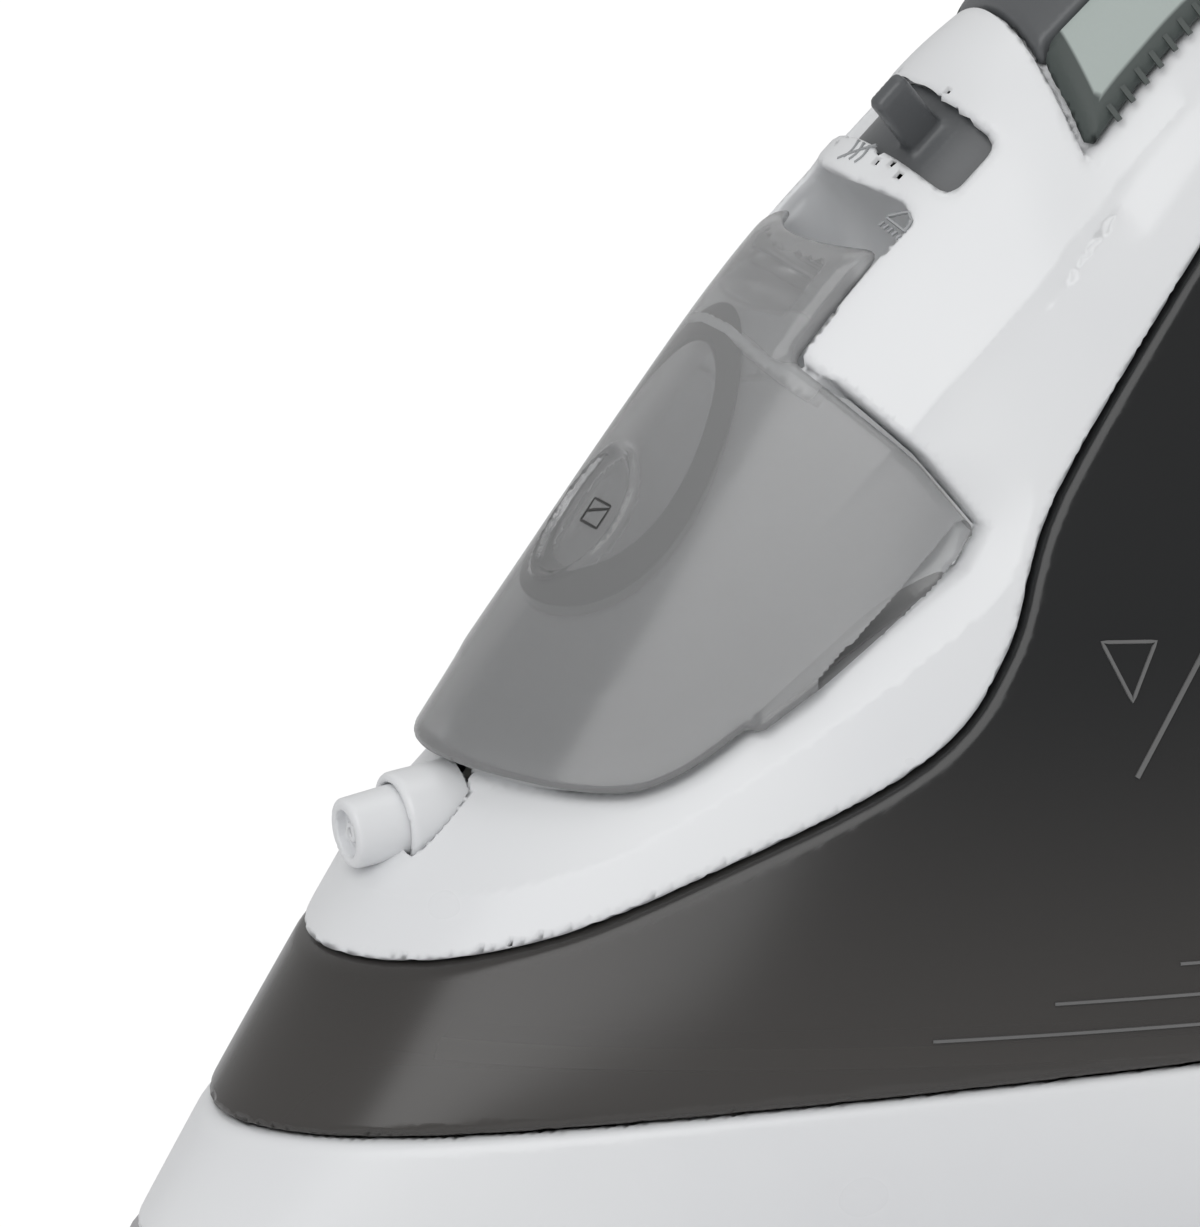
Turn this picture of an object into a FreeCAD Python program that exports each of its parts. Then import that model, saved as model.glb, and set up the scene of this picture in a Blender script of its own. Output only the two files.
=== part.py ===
import FreeCAD, Part
import math
import os

import Sketcher

from FreeCAD import Placement, Rotation, Vector

# Steam iron, modelled from the sole up: s runs back from the tip of the sole, y across, z up.
# The document's origin lies under the middle of the sole.

doc = FreeCAD.newDocument("SteamIron")
sheet = doc.addObject("Spreadsheet::Sheet", "Sizes")

SIZES = {
    "length": 284.0,
    "width": 118.0,
    "height": 152.0,
    "sole_thickness": 4.0,
    "casting_height": 10.0,
    "skirt_gap": 0.6,
    "skirt_wall": 2.4,
    "tank_wall": 2.4,
    "shell_wall": 5.0,
    "insert_thickness": 2.5,
    "lid_thickness": 2.0,
    "channel_depth": 3.4,
    "grip_underside": 118.0,
    "tank_roof": 78.0,
    "nozzle_diameter": 7.7,
    "collar_diameter": 9.8,
    "button_diameter": 14.0,
    "button_travel": 3.0,
    "button_rise": 2.2,
    "lever_radius": 13.2,
    "lever_width": 9.0,
    "lever_tab_rise": 6.6,
    "slot_width": 7.2,
    "lever_rest": 20.0,
    "dial_diameter": 42.0,
    "dial_height": 6.0,
    "shaft_diameter": 4.0,
    "funnel_bore": 15.0,
    "hinge_pin_diameter": 2.4,
    "valve_rod_diameter": 3.2,
    "tube_diameter": 2.6,
    "element_diameter": 7.2,
    "steam_hole": 3.0,
    "cord_bore": 7.2,
    "gland_diameter": 14.0,
    "screw_shank": 3.6,
    "screw_head": 7.0,
    "running_gap": 0.3,
}

for row, (alias, value) in enumerate(SIZES.items(), start=1):
    sheet.set("A%d" % row, alias)
    sheet.set("B%d" % row, str(value))
    sheet.setAlias("B%d" % row, alias)
doc.recompute()


def size(alias):
    return float(sheet.get(alias))


# The drawing sizes that the stations below are written for, and the stretch of each axis.
DRAWN_LENGTH = 284.0
DRAWN_WIDTH = 118.0
DRAWN_HEIGHT = 152.0
LONG = size("length") / DRAWN_LENGTH
WIDE = size("width") / DRAWN_WIDTH
TALL = size("height") / DRAWN_HEIGHT

SOLE_TOP = size("sole_thickness")
CASTING_TOP = SOLE_TOP + size("casting_height")
FORM_BOTTOM = SOLE_TOP + size("skirt_gap")
CROWN = DRAWN_HEIGHT
REACH = 90.0

# Height above the sole, and what the outer form does there.
NOSE = [(0, 0), (17, 11.2), (50, 32.6), (72, 49.1), (95, 67), (117.6, 91), (134, 110), (146, 132), (152, 160)]
TAIL = [(0, 272), (6, 278), (14, 284), (30, 286), (118, 286), (130, 282), (142, 268), (149, 246), (152, 222)]
HALF = [(0, 57.5), (10, 59), (26, 58), (38, 52.5), (48, 44), (58, 38.5), (75, 34), (90, 29.5),
        (105, 24.5), (118, 20.5), (130, 19), (140, 16.5), (148, 10.5), (152, 4.5)]
NOSE_RADIUS = [(0, 12), (17, 16.8), (60, 16), (85, 14), (100, 12), (121, 10), (152, 9)]
LEVELS = [14, 24, 34, 44, 54, 66, 80, 94, 106, 118, 130, 140, 147]
TAIL_ROUND = 30.0
STEPS = 14

# Where the shells part, seen from the side.
SKIRT_SEAM = [(-20, 13.8), (12, 16.6), (50, 20.6), (95, 24), (150, 27), (220, 29), (310, 30)]
HOOD_SEAM = [(-20, 31), (17.4, 32), (35.3, 35.7), (53, 43.5), (72.2, 53.2), (80.8, 62.8), (87.5, 77.2),
             (104.9, 99.3), (116, 110)]
GRIP_EDGE = [(96.3, 107.2), (103, 114), (112, 121.5), (124, 127.5), (150, 131), (205, 131), (235, 127),
             (262, 117), (310, 98)]
LID_EDGE = [(10, 51), (32.7, 50.1), (43.6, 49.2), (50.3, 51), (60.2, 57.9), (78, 70.5)]
CREASE = [(10, 34), (21, 38), (41.4, 43.3), (62.8, 56), (78.3, 66.6), (84, 74)]
COLUMN = 214.0
COVER = 252.0
HEEL = DRAWN_LENGTH
HINGE = (75.0, 94.0)
SCOOP = 10.0
NECK = 56.0
VALVE = 94.0
DIAL = 168.0
SPRAY = 113.0
BURST = 136.0
LAMP = 196.0
GLAND_HEIGHT = 98.0


def along(stations, at):
    """Smooth reading of a list of stations that never swings past them."""
    places = [place for place, _ in stations]
    values = [value for _, value in stations]
    steps = [b - a for a, b in zip(places, places[1:])]
    slopes = [(b - a) / step for a, b, step in zip(values, values[1:], steps)]
    if at <= places[0]:
        return values[0] + (at - places[0]) * slopes[0]
    if at >= places[-1]:
        return values[-1]
    ends = [slopes[0]]
    for before, after in zip(slopes, slopes[1:]):
        ends.append(0 if before * after <= 0 else 2 * before * after / (before + after))
    ends.append(slopes[-1])
    i = max(k for k, place in enumerate(places[:-1]) if at >= place)
    f = (at - places[i]) / steps[i]
    return ((1 + 2 * f) * (1 - f) ** 2 * values[i] + f * f * (3 - 2 * f) * values[i + 1]
            + steps[i] * (f * (1 - f) ** 2 * ends[i] + f * f * (f - 1) * ends[i + 1]))


def spot(s, y, z):
    """A point of the drawing, stretched to the sheet's overall sizes."""
    return Vector(s * LONG, y * WIDE, z * TALL)


def outline(z, inset):
    """Points of one half of the boat-shaped section at a height, from nose to tail."""
    level = z + inset * max(0.0, min(1.0, (z - 100) / 52.0))
    nose = along(NOSE, level) + 1.2 * inset
    tail = along(TAIL, level) - inset
    full = along(HALF, z)
    half = max(1.5, full - inset)
    entry = max(5.0, 0.75 * full * full / along(NOSE_RADIUS, level) - 1.2 * inset)
    leave = max(3.0, min(TAIL_ROUND, 0.9 * full) - inset)
    points = []
    for step in range(STEPS + 1):
        s = nose + (tail - nose) * (1 - math.cos(math.pi * step / STEPS)) / 2
        bow = math.sqrt(1 - max(0.0, 1 - (s - nose) / entry) ** 1.5)
        stern = (1 - max(0.0, 1 - (tail - s) / leave) ** 2.4) ** (1 / 2.4)
        points.append((s, half * bow * stern))
    points[0] = (nose, 0.0)
    points[-1] = (tail, 0.0)
    return points


def form(inset, bottom=None, top=None):
    """Closed solid of the iron's outer form, set in from its surface."""
    low = FORM_BOTTOM / TALL if bottom is None else bottom
    high = CROWN - inset if top is None else top
    levels = [low] + [z for z in LEVELS if low + 2 < z < high - 2] + [high]
    wires = []
    for z in levels:
        side = outline(z, inset)
        port = [spot(s, -y, z) for s, y in reversed(side)]
        rim = Part.BSplineCurve()
        rim.interpolate(Points=port + [spot(s, y, z) for s, y in side[1:]],
                        Parameters=[i / (2 * STEPS) for i in range(2 * STEPS + 1)])
        wires.append(Part.Wire([rim.toShape()]))
    return Part.makeLoft(wires, True, False)


def slab(*runs, half=REACH):
    """Prism across the iron from an outline in the side view: two points make a line, more a curve."""
    edges = []
    for run in runs:
        points = [spot(s, 0, z) for s, z in run]
        if len(points) == 2:
            edges.append(Part.LineSegment(points[0], points[1]).toShape())
        else:
            curve = Part.BSplineCurve()
            curve.interpolate(points)
            edges.append(curve.toShape())
    wide = half * WIDE
    face = Part.Face(Part.Wire(edges))
    face.translate(Vector(0, -wide, 0))
    return face.extrude(Vector(0, 2 * wide, 0))


def block(s0, s1, half, z0, z1):
    """Box across the middle plane between two stations and two heights."""
    low = spot(s0, -half, z0)
    high = spot(s1, half, z1)
    return Part.makeBox(high.x - low.x, high.y - low.y, high.z - low.z, low)


def rod(radius, start, end):
    return Part.makeCylinder(radius, (end - start).Length, start, end - start)


def chain(radius, points):
    """Round bar through a row of points, with a ball at each turn."""
    bars = [rod(radius, a, b) for a, b in zip(points, points[1:])]
    balls = [Part.makeSphere(radius, point) for point in points[1:-1]]
    return bars[0].multiFuse(bars[1:] + balls) if len(points) > 2 else bars[0]


def shifted(run, ds, dz):
    return [(s + ds, z + dz) for s, z in run]


def closed(*corners):
    """Straight runs that lead from corner to corner."""
    return list(zip(corners, corners[1:]))


nodes = []


def keep(label, shape):
    """Freeform sub-part whose shape comes from the sheet's sizes; it is centred along the sole."""
    feature = doc.addObject("Part::Feature", label)
    feature.Label = label
    feature.Shape = shape if shape.Placement.isIdentity() else Part.Compound([shape])
    feature.setExpression("Placement.Base.x", "-Sizes.length / 2")
    nodes.append(feature)
    return feature


def placed(label, thing):
    thing.Label = label
    nodes.append(thing)
    return thing


def moved(x, y, z, rotation=None):
    """Placement in the document for a point given in drawing stations."""
    point = spot(x, y, z)
    point.x -= size("length") / 2
    return Placement(point, rotation or Rotation())


def plane_of(body, role):
    return [item for item in body.Origin.OriginFeatures if item.Role == role][0]


def turned(label, corners, placement=None, listed=True):
    """Body revolved about its own Z axis from (radius, height) corners, each an expression."""
    body = doc.addObject("PartDesign::Body", label)
    sketch = body.newObject("Sketcher::SketchObject", label + "_outline")
    sketch.AttachmentSupport = [(plane_of(body, "XZ_Plane"), "")]
    sketch.MapMode = "FlatFace"
    values = [(float(sheet.evalExpression(a)), float(sheet.evalExpression(b))) for a, b in corners]
    count = len(corners)
    for i in range(count):
        start = Vector(values[i][0], values[i][1], 0)
        end = Vector(values[(i + 1) % count][0], values[(i + 1) % count][1], 0)
        sketch.addGeometry(Part.LineSegment(start, end), False)
    for i in range(count):
        sketch.addConstraint(Sketcher.Constraint("Coincident", i, 2, (i + 1) % count, 1))
    for i, corner in enumerate(corners):
        for kind, axis, text, value in (("DistanceX", -2, corner[0], values[i][0]),
                                        ("DistanceY", -1, corner[1], values[i][1])):
            if value == 0:
                sketch.addConstraint(Sketcher.Constraint("PointOnObject", i, 1, axis))
            else:
                index = sketch.addConstraint(Sketcher.Constraint(kind, -1, 1, i, 1, value))
                sketch.setExpression("Constraints[%d]" % index, text)
    revolution = body.newObject("PartDesign::Revolution", label + "_turn")
    revolution.Profile = sketch
    revolution.ReferenceAxis = (sketch, ["V_Axis"])
    revolution.Angle = 360
    sketch.Visibility = False
    body.Tip = revolution
    if placement:
        body.Placement = placement
    doc.recompute()
    if listed:
        placed(label, body)
    return body


# Envelopes that the shells share.
outer = form(0)
behind_insert = form(size("insert_thickness"))
hollow = form(size("shell_wall"))
under_lid = form(size("lid_thickness"))

opening = slab(*closed((134, size("tank_roof")), (204, size("tank_roof")), (210, size("grip_underside")),
                       (123, size("grip_underside")), (134, size("tank_roof"))))
opening = opening.makeFillet(9, [e for e in opening.Edges if abs(e.tangentAt(e.FirstParameter).y) > 0.9])

skirt_zone = slab(SKIRT_SEAM, *closed(SKIRT_SEAM[-1], (310, -20), (-20, -20), SKIRT_SEAM[0]))
hood_end = HOOD_SEAM[-1]
tank_zone = slab(HOOD_SEAM, *closed(hood_end, (126, 104), (140, 90), (COLUMN, 90), (COLUMN, -20), (-20, -20),
                                    HOOD_SEAM[0])).cut(skirt_zone)
tank_top = size("tank_roof") - size("tank_wall")
tank_inner = shifted(HOOD_SEAM[:-1], 1.4, -2.2)
tank_hollow = slab(tank_inner, *closed(tank_inner[-1], (121.5, 88), (130, tank_top), (COLUMN - 2.4, tank_top),
                                       (COLUMN - 2.4, 4), (-20, 4), tank_inner[0]))
white_zone = slab(HOOD_SEAM, *closed(hood_end, (126, 104), (140, 90), (COLUMN, 90), (COLUMN, -20), (310, -20),
                                     (310, 170), (-20, 170), HOOD_SEAM[0])).cut(skirt_zone)
grip_zone = slab(GRIP_EDGE, *closed(GRIP_EDGE[-1], (310, 180), (70, 180), (93.5, 122), GRIP_EDGE[0]))
floor_line = shifted(HOOD_SEAM[:-1], -1.4, 2.2)
hollow_zone = slab(floor_line, *closed(floor_line[-1], (113, 110.5), (124, 122), (206, 122), (215, 117),
                                       (217, 100), (217, 20), (310, 20), (310, 190), (-20, 190), floor_line[0]))
cover_zone = slab(*closed((COVER, 0), (310, 0), (310, 170), (COVER, 170), (COVER, 0)))
lid_zone = slab(LID_EDGE, *closed(LID_EDGE[-1], (80.3, 74), (76, 80.5), (70, 87), (60, 84), (48, 96),
                                  (-10, 96), (10, 51)))
lid_edge = shifted(LID_EDGE, -0.3, 0.45)
lid_plate = slab(lid_edge, *closed(lid_edge[-1], (79.6, 73.9), (75.5, 80.1), (67, 89), (-10, 89),
                                   lid_edge[0]))
channel_zone = slab(CREASE, *closed(CREASE[-1], (84, 84), (60, 110), (10, 110), CREASE[0]))
heel_cut = block(HEEL, HEEL + 40, REACH, -10, 200)
panel_zone = block(80, 152, 9.0, 112, 160)

hinge_spot = spot(HINGE[0], 0, HINGE[1])


def across(radius, half, point):
    """Round bar across the iron through a point on its middle plane."""
    return rod(radius, point - Vector(0, half, 0), point + Vector(0, half, 0))


def upright(radius, s, y, z0, z1):
    return rod(radius, spot(s, y, z0), spot(s, y, z1))


# Steam control: its axis lies under the hood, parallel to the slope.
slope = Vector(0.73, 0, 0.68).normalize()
outward = Vector(-0.68, 0, 0.73).normalize()
slot_spot = spot(along(NOSE, 110), 0, 110)
lever_axis = slot_spot - outward * 15.0


def beside(along_slope, out, y=0.0):
    return lever_axis + slope * along_slope + outward * out + Vector(0, y, 0)


def fan(radius, width, sweep):
    """Sector about the lever's axis, centred on the outward side."""
    disc = Part.makeCylinder(radius, width, beside(-width / 2, 0), slope, 360)
    tip = radius * 3
    a = math.radians(sweep)
    corners = [beside(-width, 0), beside(-width, tip * math.cos(a), tip * math.sin(a)),
               beside(-width, tip * 1.6), beside(-width, tip * math.cos(a), -tip * math.sin(a))]
    wedge = Part.Face(Part.makePolygon(corners + corners[:1])).extrude(slope * (2 * width))
    return disc.common(wedge)


lever_radius = size("lever_radius")
slot_cut = fan(30, size("slot_width"), 52).cut(Part.makeCylinder(8, 40, beside(-20, 0), slope))
lever_room = fan(lever_radius + 0.6, size("lever_width") + 1.2, 80)

# Sole and what stands on it.
sole_edge = form(0, 0, SOLE_TOP / TALL)
holes = []
for i in range(7):
    s = 34 + 11 * i
    reach = along([(34, 9), (60, 22), (100, 34)], s)
    holes += [upright(size("steam_hole") / 2, s, y, -1, 6) for y in (-reach, reach)]
holes += [upright(size("steam_hole") / 2, s, 0, -1, 6) for s in (26, 44, 62)]
holes += [upright(size("steam_hole") / 2, s, y, -1, 6) for s in (150, 175, 200) for y in (-44, 44)]
keep("soleplate", sole_edge.cut(Part.Compound(holes)))

element_level = CASTING_TOP / TALL
pipe = size("element_diameter") / 2
bend = spot(62, 0, element_level)
bend_radius = 14.0
leg_end = spot(240, 32, element_level)
span = leg_end - bend
turn = math.acos(bend_radius / span.Length) + math.atan2(span.y, span.x)
touch = bend + Vector(bend_radius * math.cos(turn), bend_radius * math.sin(turn), 0)


def flipped(point):
    return Vector(point.x, -point.y, point.z)


path = Part.Wire([Part.LineSegment(leg_end, touch).toShape(),
                  Part.Arc(touch, bend - Vector(bend_radius, 0, 0), flipped(touch)).toShape(),
                  Part.LineSegment(flipped(touch), flipped(leg_end)).toShape()])


def element_pipe(radius):
    """The element's bar with a given radius."""
    ring = Part.Wire([Part.makeCircle(radius, leg_end, touch - leg_end)])
    return path.makePipeShell([ring], True, False)


element = element_pipe(pipe)
keep("heating_element", element)
casting = form(9, SOLE_TOP / TALL, CASTING_TOP / TALL).cut(element)
sole_screw_spots = [(28, 0), (130, 40), (130, -40), (254, 29), (254, -29)]
ledge_top = CASTING_TOP + 2
screw_cut = Part.Compound([upright(size("screw_shank") / 2, s, y, 8, ledge_top / TALL)
                           for s, y in sole_screw_spots])
keep("sole_casting", casting.cut(screw_cut))
pin_feet = [leg_end, flipped(leg_end)]
pins = [rod(1.5, foot + Vector(-6, 0, pipe - 0.8), foot + Vector(-6, 0, pipe + 7)).cut(element)
        for foot in pin_feet]
keep("element_pins", Part.Compound(pins))
cover_plate = form(36, CASTING_TOP / TALL, CASTING_TOP / TALL + 1.6).common(block(66, 150, 40, 0, 40))
cover_plate = cover_plate.cut(element_pipe(pipe + 0.8))
chamber_spots = [(78, 8), (78, -8), (142, 14), (142, -14)]
cover_holes = [upright(1.5, s, y, 10, 20) for s, y in chamber_spots] + [upright(2.2, VALVE, 0, 10, 20)]
keep("chamber_cover", cover_plate.cut(Part.Compound(cover_holes)))
heads = []
for s, y in chamber_spots:
    shank = upright(1.5, s, y, CASTING_TOP / TALL, CASTING_TOP / TALL + 1.6)
    heads.append(shank.fuse(upright(2.8, s, y, CASTING_TOP / TALL + 1.6, CASTING_TOP / TALL + 3.4)))
keep("chamber_screws", Part.Compound(heads))

# Skirt round the casting, with the ledge that the sole screws hold down.
wall = form(size("skirt_wall"), 2, 60)
rim = form(1.0, CASTING_TOP / TALL, ledge_top / TALL).cut(form(22, 4, 40))
skirt = outer.common(skirt_zone).cut(wall).fuse(rim.common(skirt_zone)).cut(heel_cut).cut(screw_cut)
keep("skirt", skirt)
screws = [upright(size("screw_shank") / 2, s, y, 8, ledge_top / TALL).fuse(
              upright(size("screw_head") / 2, s, y, ledge_top / TALL, ledge_top / TALL + 2))
          for s, y in sole_screw_spots]
keep("sole_screws", Part.Compound(screws))

# Water tank.
floor_low = 24.5
floor_high = 26.5
inside = form(size("tank_wall"), 6, 120)
tank = outer.cut(opening).common(tank_zone).cut(inside.common(tank_hollow))
neck_radius = size("funnel_bore") / 2 + 1.5
neck_hole = upright(neck_radius, NECK, 0, 30, 66)
sleeve = upright(5.5, DIAL, 0, floor_high, 90)
valve_hole = upright(size("valve_rod_diameter") / 2 + 0.4, VALVE, 0, 60, 120)
intake = chain(1.6, [spot(127, 0, 30), spot(127, 0, 76), spot(124, 0, 92), spot(118, 0, 102)])
keep("tank_shell", tank.cut(neck_hole).cut(sleeve).cut(valve_hole).cut(intake))
bay = block(-10, COLUMN - 2.4, REACH, 0, 120)
fit = size("tank_wall") + size("running_gap")
deck = form(fit, floor_low, floor_high).common(bay)
keep("tank_floor", deck.cut(upright(3.4, DIAL, 0, 20, 30)).cut(upright(5, VALVE, 0, 20, 30)))
band = form(fit, floor_high, floor_high + 1.6).common(bay)
keep("tank_seal", band.cut(form(5, 20, 40).common(block(-10, COLUMN - 5, REACH, 0, 60))))
keep("shaft_tube", upright(5.5, DIAL, 0, floor_high, tank_top).fuse(
    upright(5.5, DIAL, 0, tank_top, size("tank_roof"))).cut(upright(3.4, DIAL, 0, 0, 100)))

# Upper housing: hood, grip and rear column in one moulding.
body = outer.common(white_zone.cut(grip_zone)).fuse(behind_insert.common(grip_zone))
body = body.cut(opening).cut(cover_zone.cut(grip_zone)).cut(heel_cut)
channel = outer.cut(form(size("channel_depth"))).common(channel_zone)
body = body.cut(channel).cut(hollow.common(hollow_zone)).cut(lid_zone)
scoop_body = across(SCOOP + 1.5, 13, hinge_spot).common(form(3.0))
body = body.fuse(scoop_body).cut(across(SCOOP, 11, hinge_spot))
ears = block(HINGE[0], HINGE[0] + 11, 9.4, HINGE[1] - 2.6, HINGE[1] + 2.6).fuse(across(2.6, 9.4, hinge_spot))
ears = ears.cut(block(HINGE[0] - 4, HINGE[0] + 9, 6.6, HINGE[1] - 6, HINGE[1] + 6))
body = body.fuse(ears.common(across(SCOOP + 0.5, 9.4, hinge_spot)))
hinge_hole = across(size("hinge_pin_diameter") / 2, 9.4, hinge_spot)
lever_bore = Part.makeCylinder(1.5, 60, beside(-30, 0), slope)
pin_room = Part.makeCylinder(1.6, 20, beside(-10, 0), slope)
body = body.cut(hinge_hole).cut(slot_cut).cut(lever_room).cut(neck_hole).cut(valve_hole).cut(pin_room)


def press_hole(s, gap):
    return upright(size("button_diameter") / 2 + gap, s, 0, 119, 170)


nozzle_tip = spot(24.6, 0, 43.4)
nozzle_back = Vector(1, 0, 0.12).normalize()


def nozzle_point(depth):
    return nozzle_tip + nozzle_back * depth


collar_cut = rod(size("collar_diameter") / 2, nozzle_point(5), nozzle_point(18))
lens_cut = upright(3.0, LAMP, 0, 100, 170)
key_holes = Part.Compound([press_hole(s, size("running_gap")) for s in (SPRAY, BURST)])
body = body.cut(key_holes)
tube = size("tube_diameter") / 2
tube_points = [nozzle_point(12), spot(43, 5, 48.8), spot(57, 11.8, 59), spot(66, 12.5, 68), spot(86, 14, 92),
               spot(104, 12.5, 111), spot(SPRAY, 5.2, 115)]
hose = chain(tube, tube_points)
pump_low = 111.5
pump_high = 120.0
body = body.cut(collar_cut).cut(hose).cut(upright(5.5, SPRAY, 0, pump_low, pump_high + 6))
keep("upper_housing", body)

grip = outer.cut(behind_insert).common(grip_zone).cut(panel_zone).cut(heel_cut).cut(lens_cut)
keep("grip_insert", grip)
panel = outer.cut(behind_insert).common(grip_zone).common(block(80, 151.8, 8.8, 112, 160))
keep("button_panel", panel.cut(key_holes))

# Filling lid, its hinge and the funnel below it.
lid_top = across(8.2, 10.3, hinge_spot)
lid_tail = slab(*closed((60, 84), (78, 84), (80, 120), (50, 120), (60, 84)), half=10.3).common(lid_top)
lid = outer.cut(under_lid).common(lid_plate.fuse(lid_tail))
tongue = block(66, HINGE[0], 6.2, HINGE[1] - 2.2, HINGE[1] + 2.2).common(outer)
knuckle = across(2.6, 6.2, hinge_spot).fuse(tongue)
lid = lid.fuse(knuckle).cut(hinge_hole)
keep("fill_lid", max(lid.Solids, key=lambda solid: solid.Volume))
keep("lid_hinge_pin", hinge_hole)
tray_zone = lid_zone.cut(across(SCOOP + 1.5, 13, hinge_spot)).cut(across(9.5, REACH, hinge_spot))
tray = form(3.3).common(tray_zone).cut(form(5.3))
neck_top = upright(neck_radius, NECK, 0, 66, 90).common(tray_zone)
neck = upright(neck_radius, NECK, 0, 43.5, 66).fuse(neck_top).common(form(3.3))
tray = tray.fuse(neck).cut(upright(size("funnel_bore") / 2, NECK, 0, 30, 110))
tray = tray.cut(across(SCOOP + 1.5, 13, hinge_spot))
keep("fill_funnel", tray)
gasket_ring = upright(10.4, NECK, 0, 40, 110).cut(upright(8, NECK, 0, 40, 110))
gasket = under_lid.cut(form(2.8)).common(gasket_ring)
keep("lid_seal", gasket)

# Spray nozzle and the two pumps.
facing = Rotation(Vector(0, 0, 1), nozzle_back)
nozzle_seat = Placement(nozzle_tip - Vector(size("length") / 2, 0, 0), facing)
turned("spray_nozzle", [("0.9", "1.4"), ("2.3", "1.4"), ("2.9", "0"),
                        ("Sizes.nozzle_diameter / 2 - 0.35", "0"),
                        ("Sizes.nozzle_diameter / 2", "8"), ("Sizes.nozzle_diameter / 2", "9"), ("0.9", "9")],
       nozzle_seat)
turned("nozzle_collar", [("Sizes.nozzle_diameter / 2 + 0.02", "5.2"),
                         ("Sizes.collar_diameter / 2 - 0.3", "5.2"),
                         ("Sizes.collar_diameter / 2 - 0.02", "5.8"), ("Sizes.collar_diameter / 2 - 0.02", "12"),
                         ("2.4", "12"), ("2.4", "9.02"), ("Sizes.nozzle_diameter / 2 + 0.02", "9.02")], nozzle_seat)
keep("spray_tube", hose.cut(upright(5.5, SPRAY, 0, 100, 130)))


def pump(label, s, low, high):
    rise = "%g" % ((high - low) * TALL)
    turned(label, [("3.5", "1.5"), ("5.5", "0"), ("5.5", rise), ("3.5", rise)], moved(s, 0, low))


pump("spray_pump", SPRAY, pump_low, pump_high)
pump("steam_pump", BURST, 123.5, 134)
button_skin = form(-size("button_rise"), 60, CROWN)
button_base = form(1.8, 60, CROWN - 1.8)


def button(name, s, piston_low):
    cap = button_skin.cut(button_base).common(press_hole(s, 0))
    keep(name + "_button", cap)
    crown = cap.BoundBox.ZMax / TALL
    stem = upright(1.6, s, 0, piston_low + 2, crown).common(button_base)
    keep(name + "_piston", stem.fuse(upright(3.4, s, 0, piston_low, piston_low + 2)))


button("spray", SPRAY, 116)
button("burst", BURST, 129)


def bellows(label, s, low, high):
    """Rubber bellows round the piston's stem, which pushes the button back up."""
    rise = (high - low) * TALL
    folds = [(4.6 if i % 2 else 3.4, rise * i / 6) for i in range(7)]
    skin = folds + [(radius - 0.8, level) for radius, level in reversed(folds)]
    turned(label, [("%g" % radius, "%g" % level) for radius, level in skin], moved(s, 0, low))


bellows("spray_bellows", SPRAY, pump_high + 0.05, 127)
bellows("burst_bellows", BURST, 134.05, 141)

# Steam lever, its bearings and the valve that it lifts.
hub = Part.makeCylinder(3.2, 12.0, beside(-5.5, 0), slope)
band_room = Part.makeCylinder(lever_radius - 1.8, 40, beside(-20, 0), slope)
arc_band = fan(lever_radius, size("lever_width"), 48).cut(band_room)
spoke = fan(lever_radius - 0.5, 4.0, 14)
tab_low = beside(-2.1, lever_radius - 0.6, -1.0)
tab_frame = FreeCAD.Matrix(slope.x, 0, outward.x, tab_low.x, 0, 1, 0, tab_low.y, slope.z, 0, outward.z, tab_low.z,
                           0, 0, 0, 1)
tab = Part.makeBox(4.2, 2.0, size("lever_tab_rise") + 2.4).transformGeometry(tab_frame)
lever = hub.multiFuse([arc_band, spoke, tab]).cut(lever_bore)
lever.rotate(lever_axis, slope, size("lever_rest"))
keep("steam_lever", lever)
keep("lever_pin", Part.makeCylinder(1.48, 16.6, beside(-7.9, 0), slope))
bearing_room = hollow.common(hollow_zone).cut(across(SCOOP + 1.6, REACH, hinge_spot))


def bearing(near):
    frame = FreeCAD.Matrix(slope.x, 0, outward.x, 0, 0, 1, 0, 0, slope.z, 0, outward.z, 0, 0, 0, 0, 1)
    plate = Part.makeBox(2.2, 8, 17, Vector(near, -4, -14)).transformGeometry(frame)
    plate.translate(lever_axis)
    return plate.common(bearing_room).cut(lever_bore)


keep("lever_bearings", Part.Compound([bearing(-8.2), bearing(7.0)]))
stem_radius = size("valve_rod_diameter") / 2
turned("valve_rod", [("0", "0"), ("0.5", "0"), ("Sizes.valve_rod_diameter / 2", "3"),
                     ("Sizes.valve_rod_diameter / 2", "%g" % (62 * TALL)), ("0", "%g" % (62 * TALL))],
       moved(VALVE, 0, 30))
keep("valve_body", upright(5, VALVE, 0, CASTING_TOP / TALL + 1.6, 30).cut(upright(0.9, VALVE, 0, 0, 40)))
guide = upright(4, VALVE, 0, 30, 52).fuse(upright(8, VALVE, 0, 52, 60))
keep("valve_guide", guide.cut(upright(stem_radius + 0.05, VALVE, 0, 20, 90)))

# Temperature control.
turned("temperature_dial", [("1.0", "2.2"), ("1.0", "Sizes.dial_height"),
                            ("Sizes.dial_diameter / 2 - 1.5", "Sizes.dial_height"),
                            ("Sizes.dial_diameter / 2", "Sizes.dial_height - 1.5"), ("Sizes.dial_diameter / 2", "0"),
                            ("Sizes.shaft_diameter / 2", "0"), ("Sizes.shaft_diameter / 2", "2.2")],
       moved(DIAL, 0, size("tank_roof") + 2.3))
turned("dial_bezel", [("5.6", "0"), ("Sizes.dial_diameter / 2 + 3", "0"), ("Sizes.dial_diameter / 2 + 2", "2"),
                      ("5.6", "2")], moved(DIAL, 0, size("tank_roof")))
shaft_top = size("tank_roof") + 4.5
turned("dial_shaft", [("0", "0"), ("Sizes.shaft_diameter / 2", "0"),
                      ("Sizes.shaft_diameter / 2", "%g" % ((shaft_top - 21) * TALL)),
                      ("0", "%g" % ((shaft_top - 21) * TALL))], moved(DIAL, 0, 21))
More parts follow.
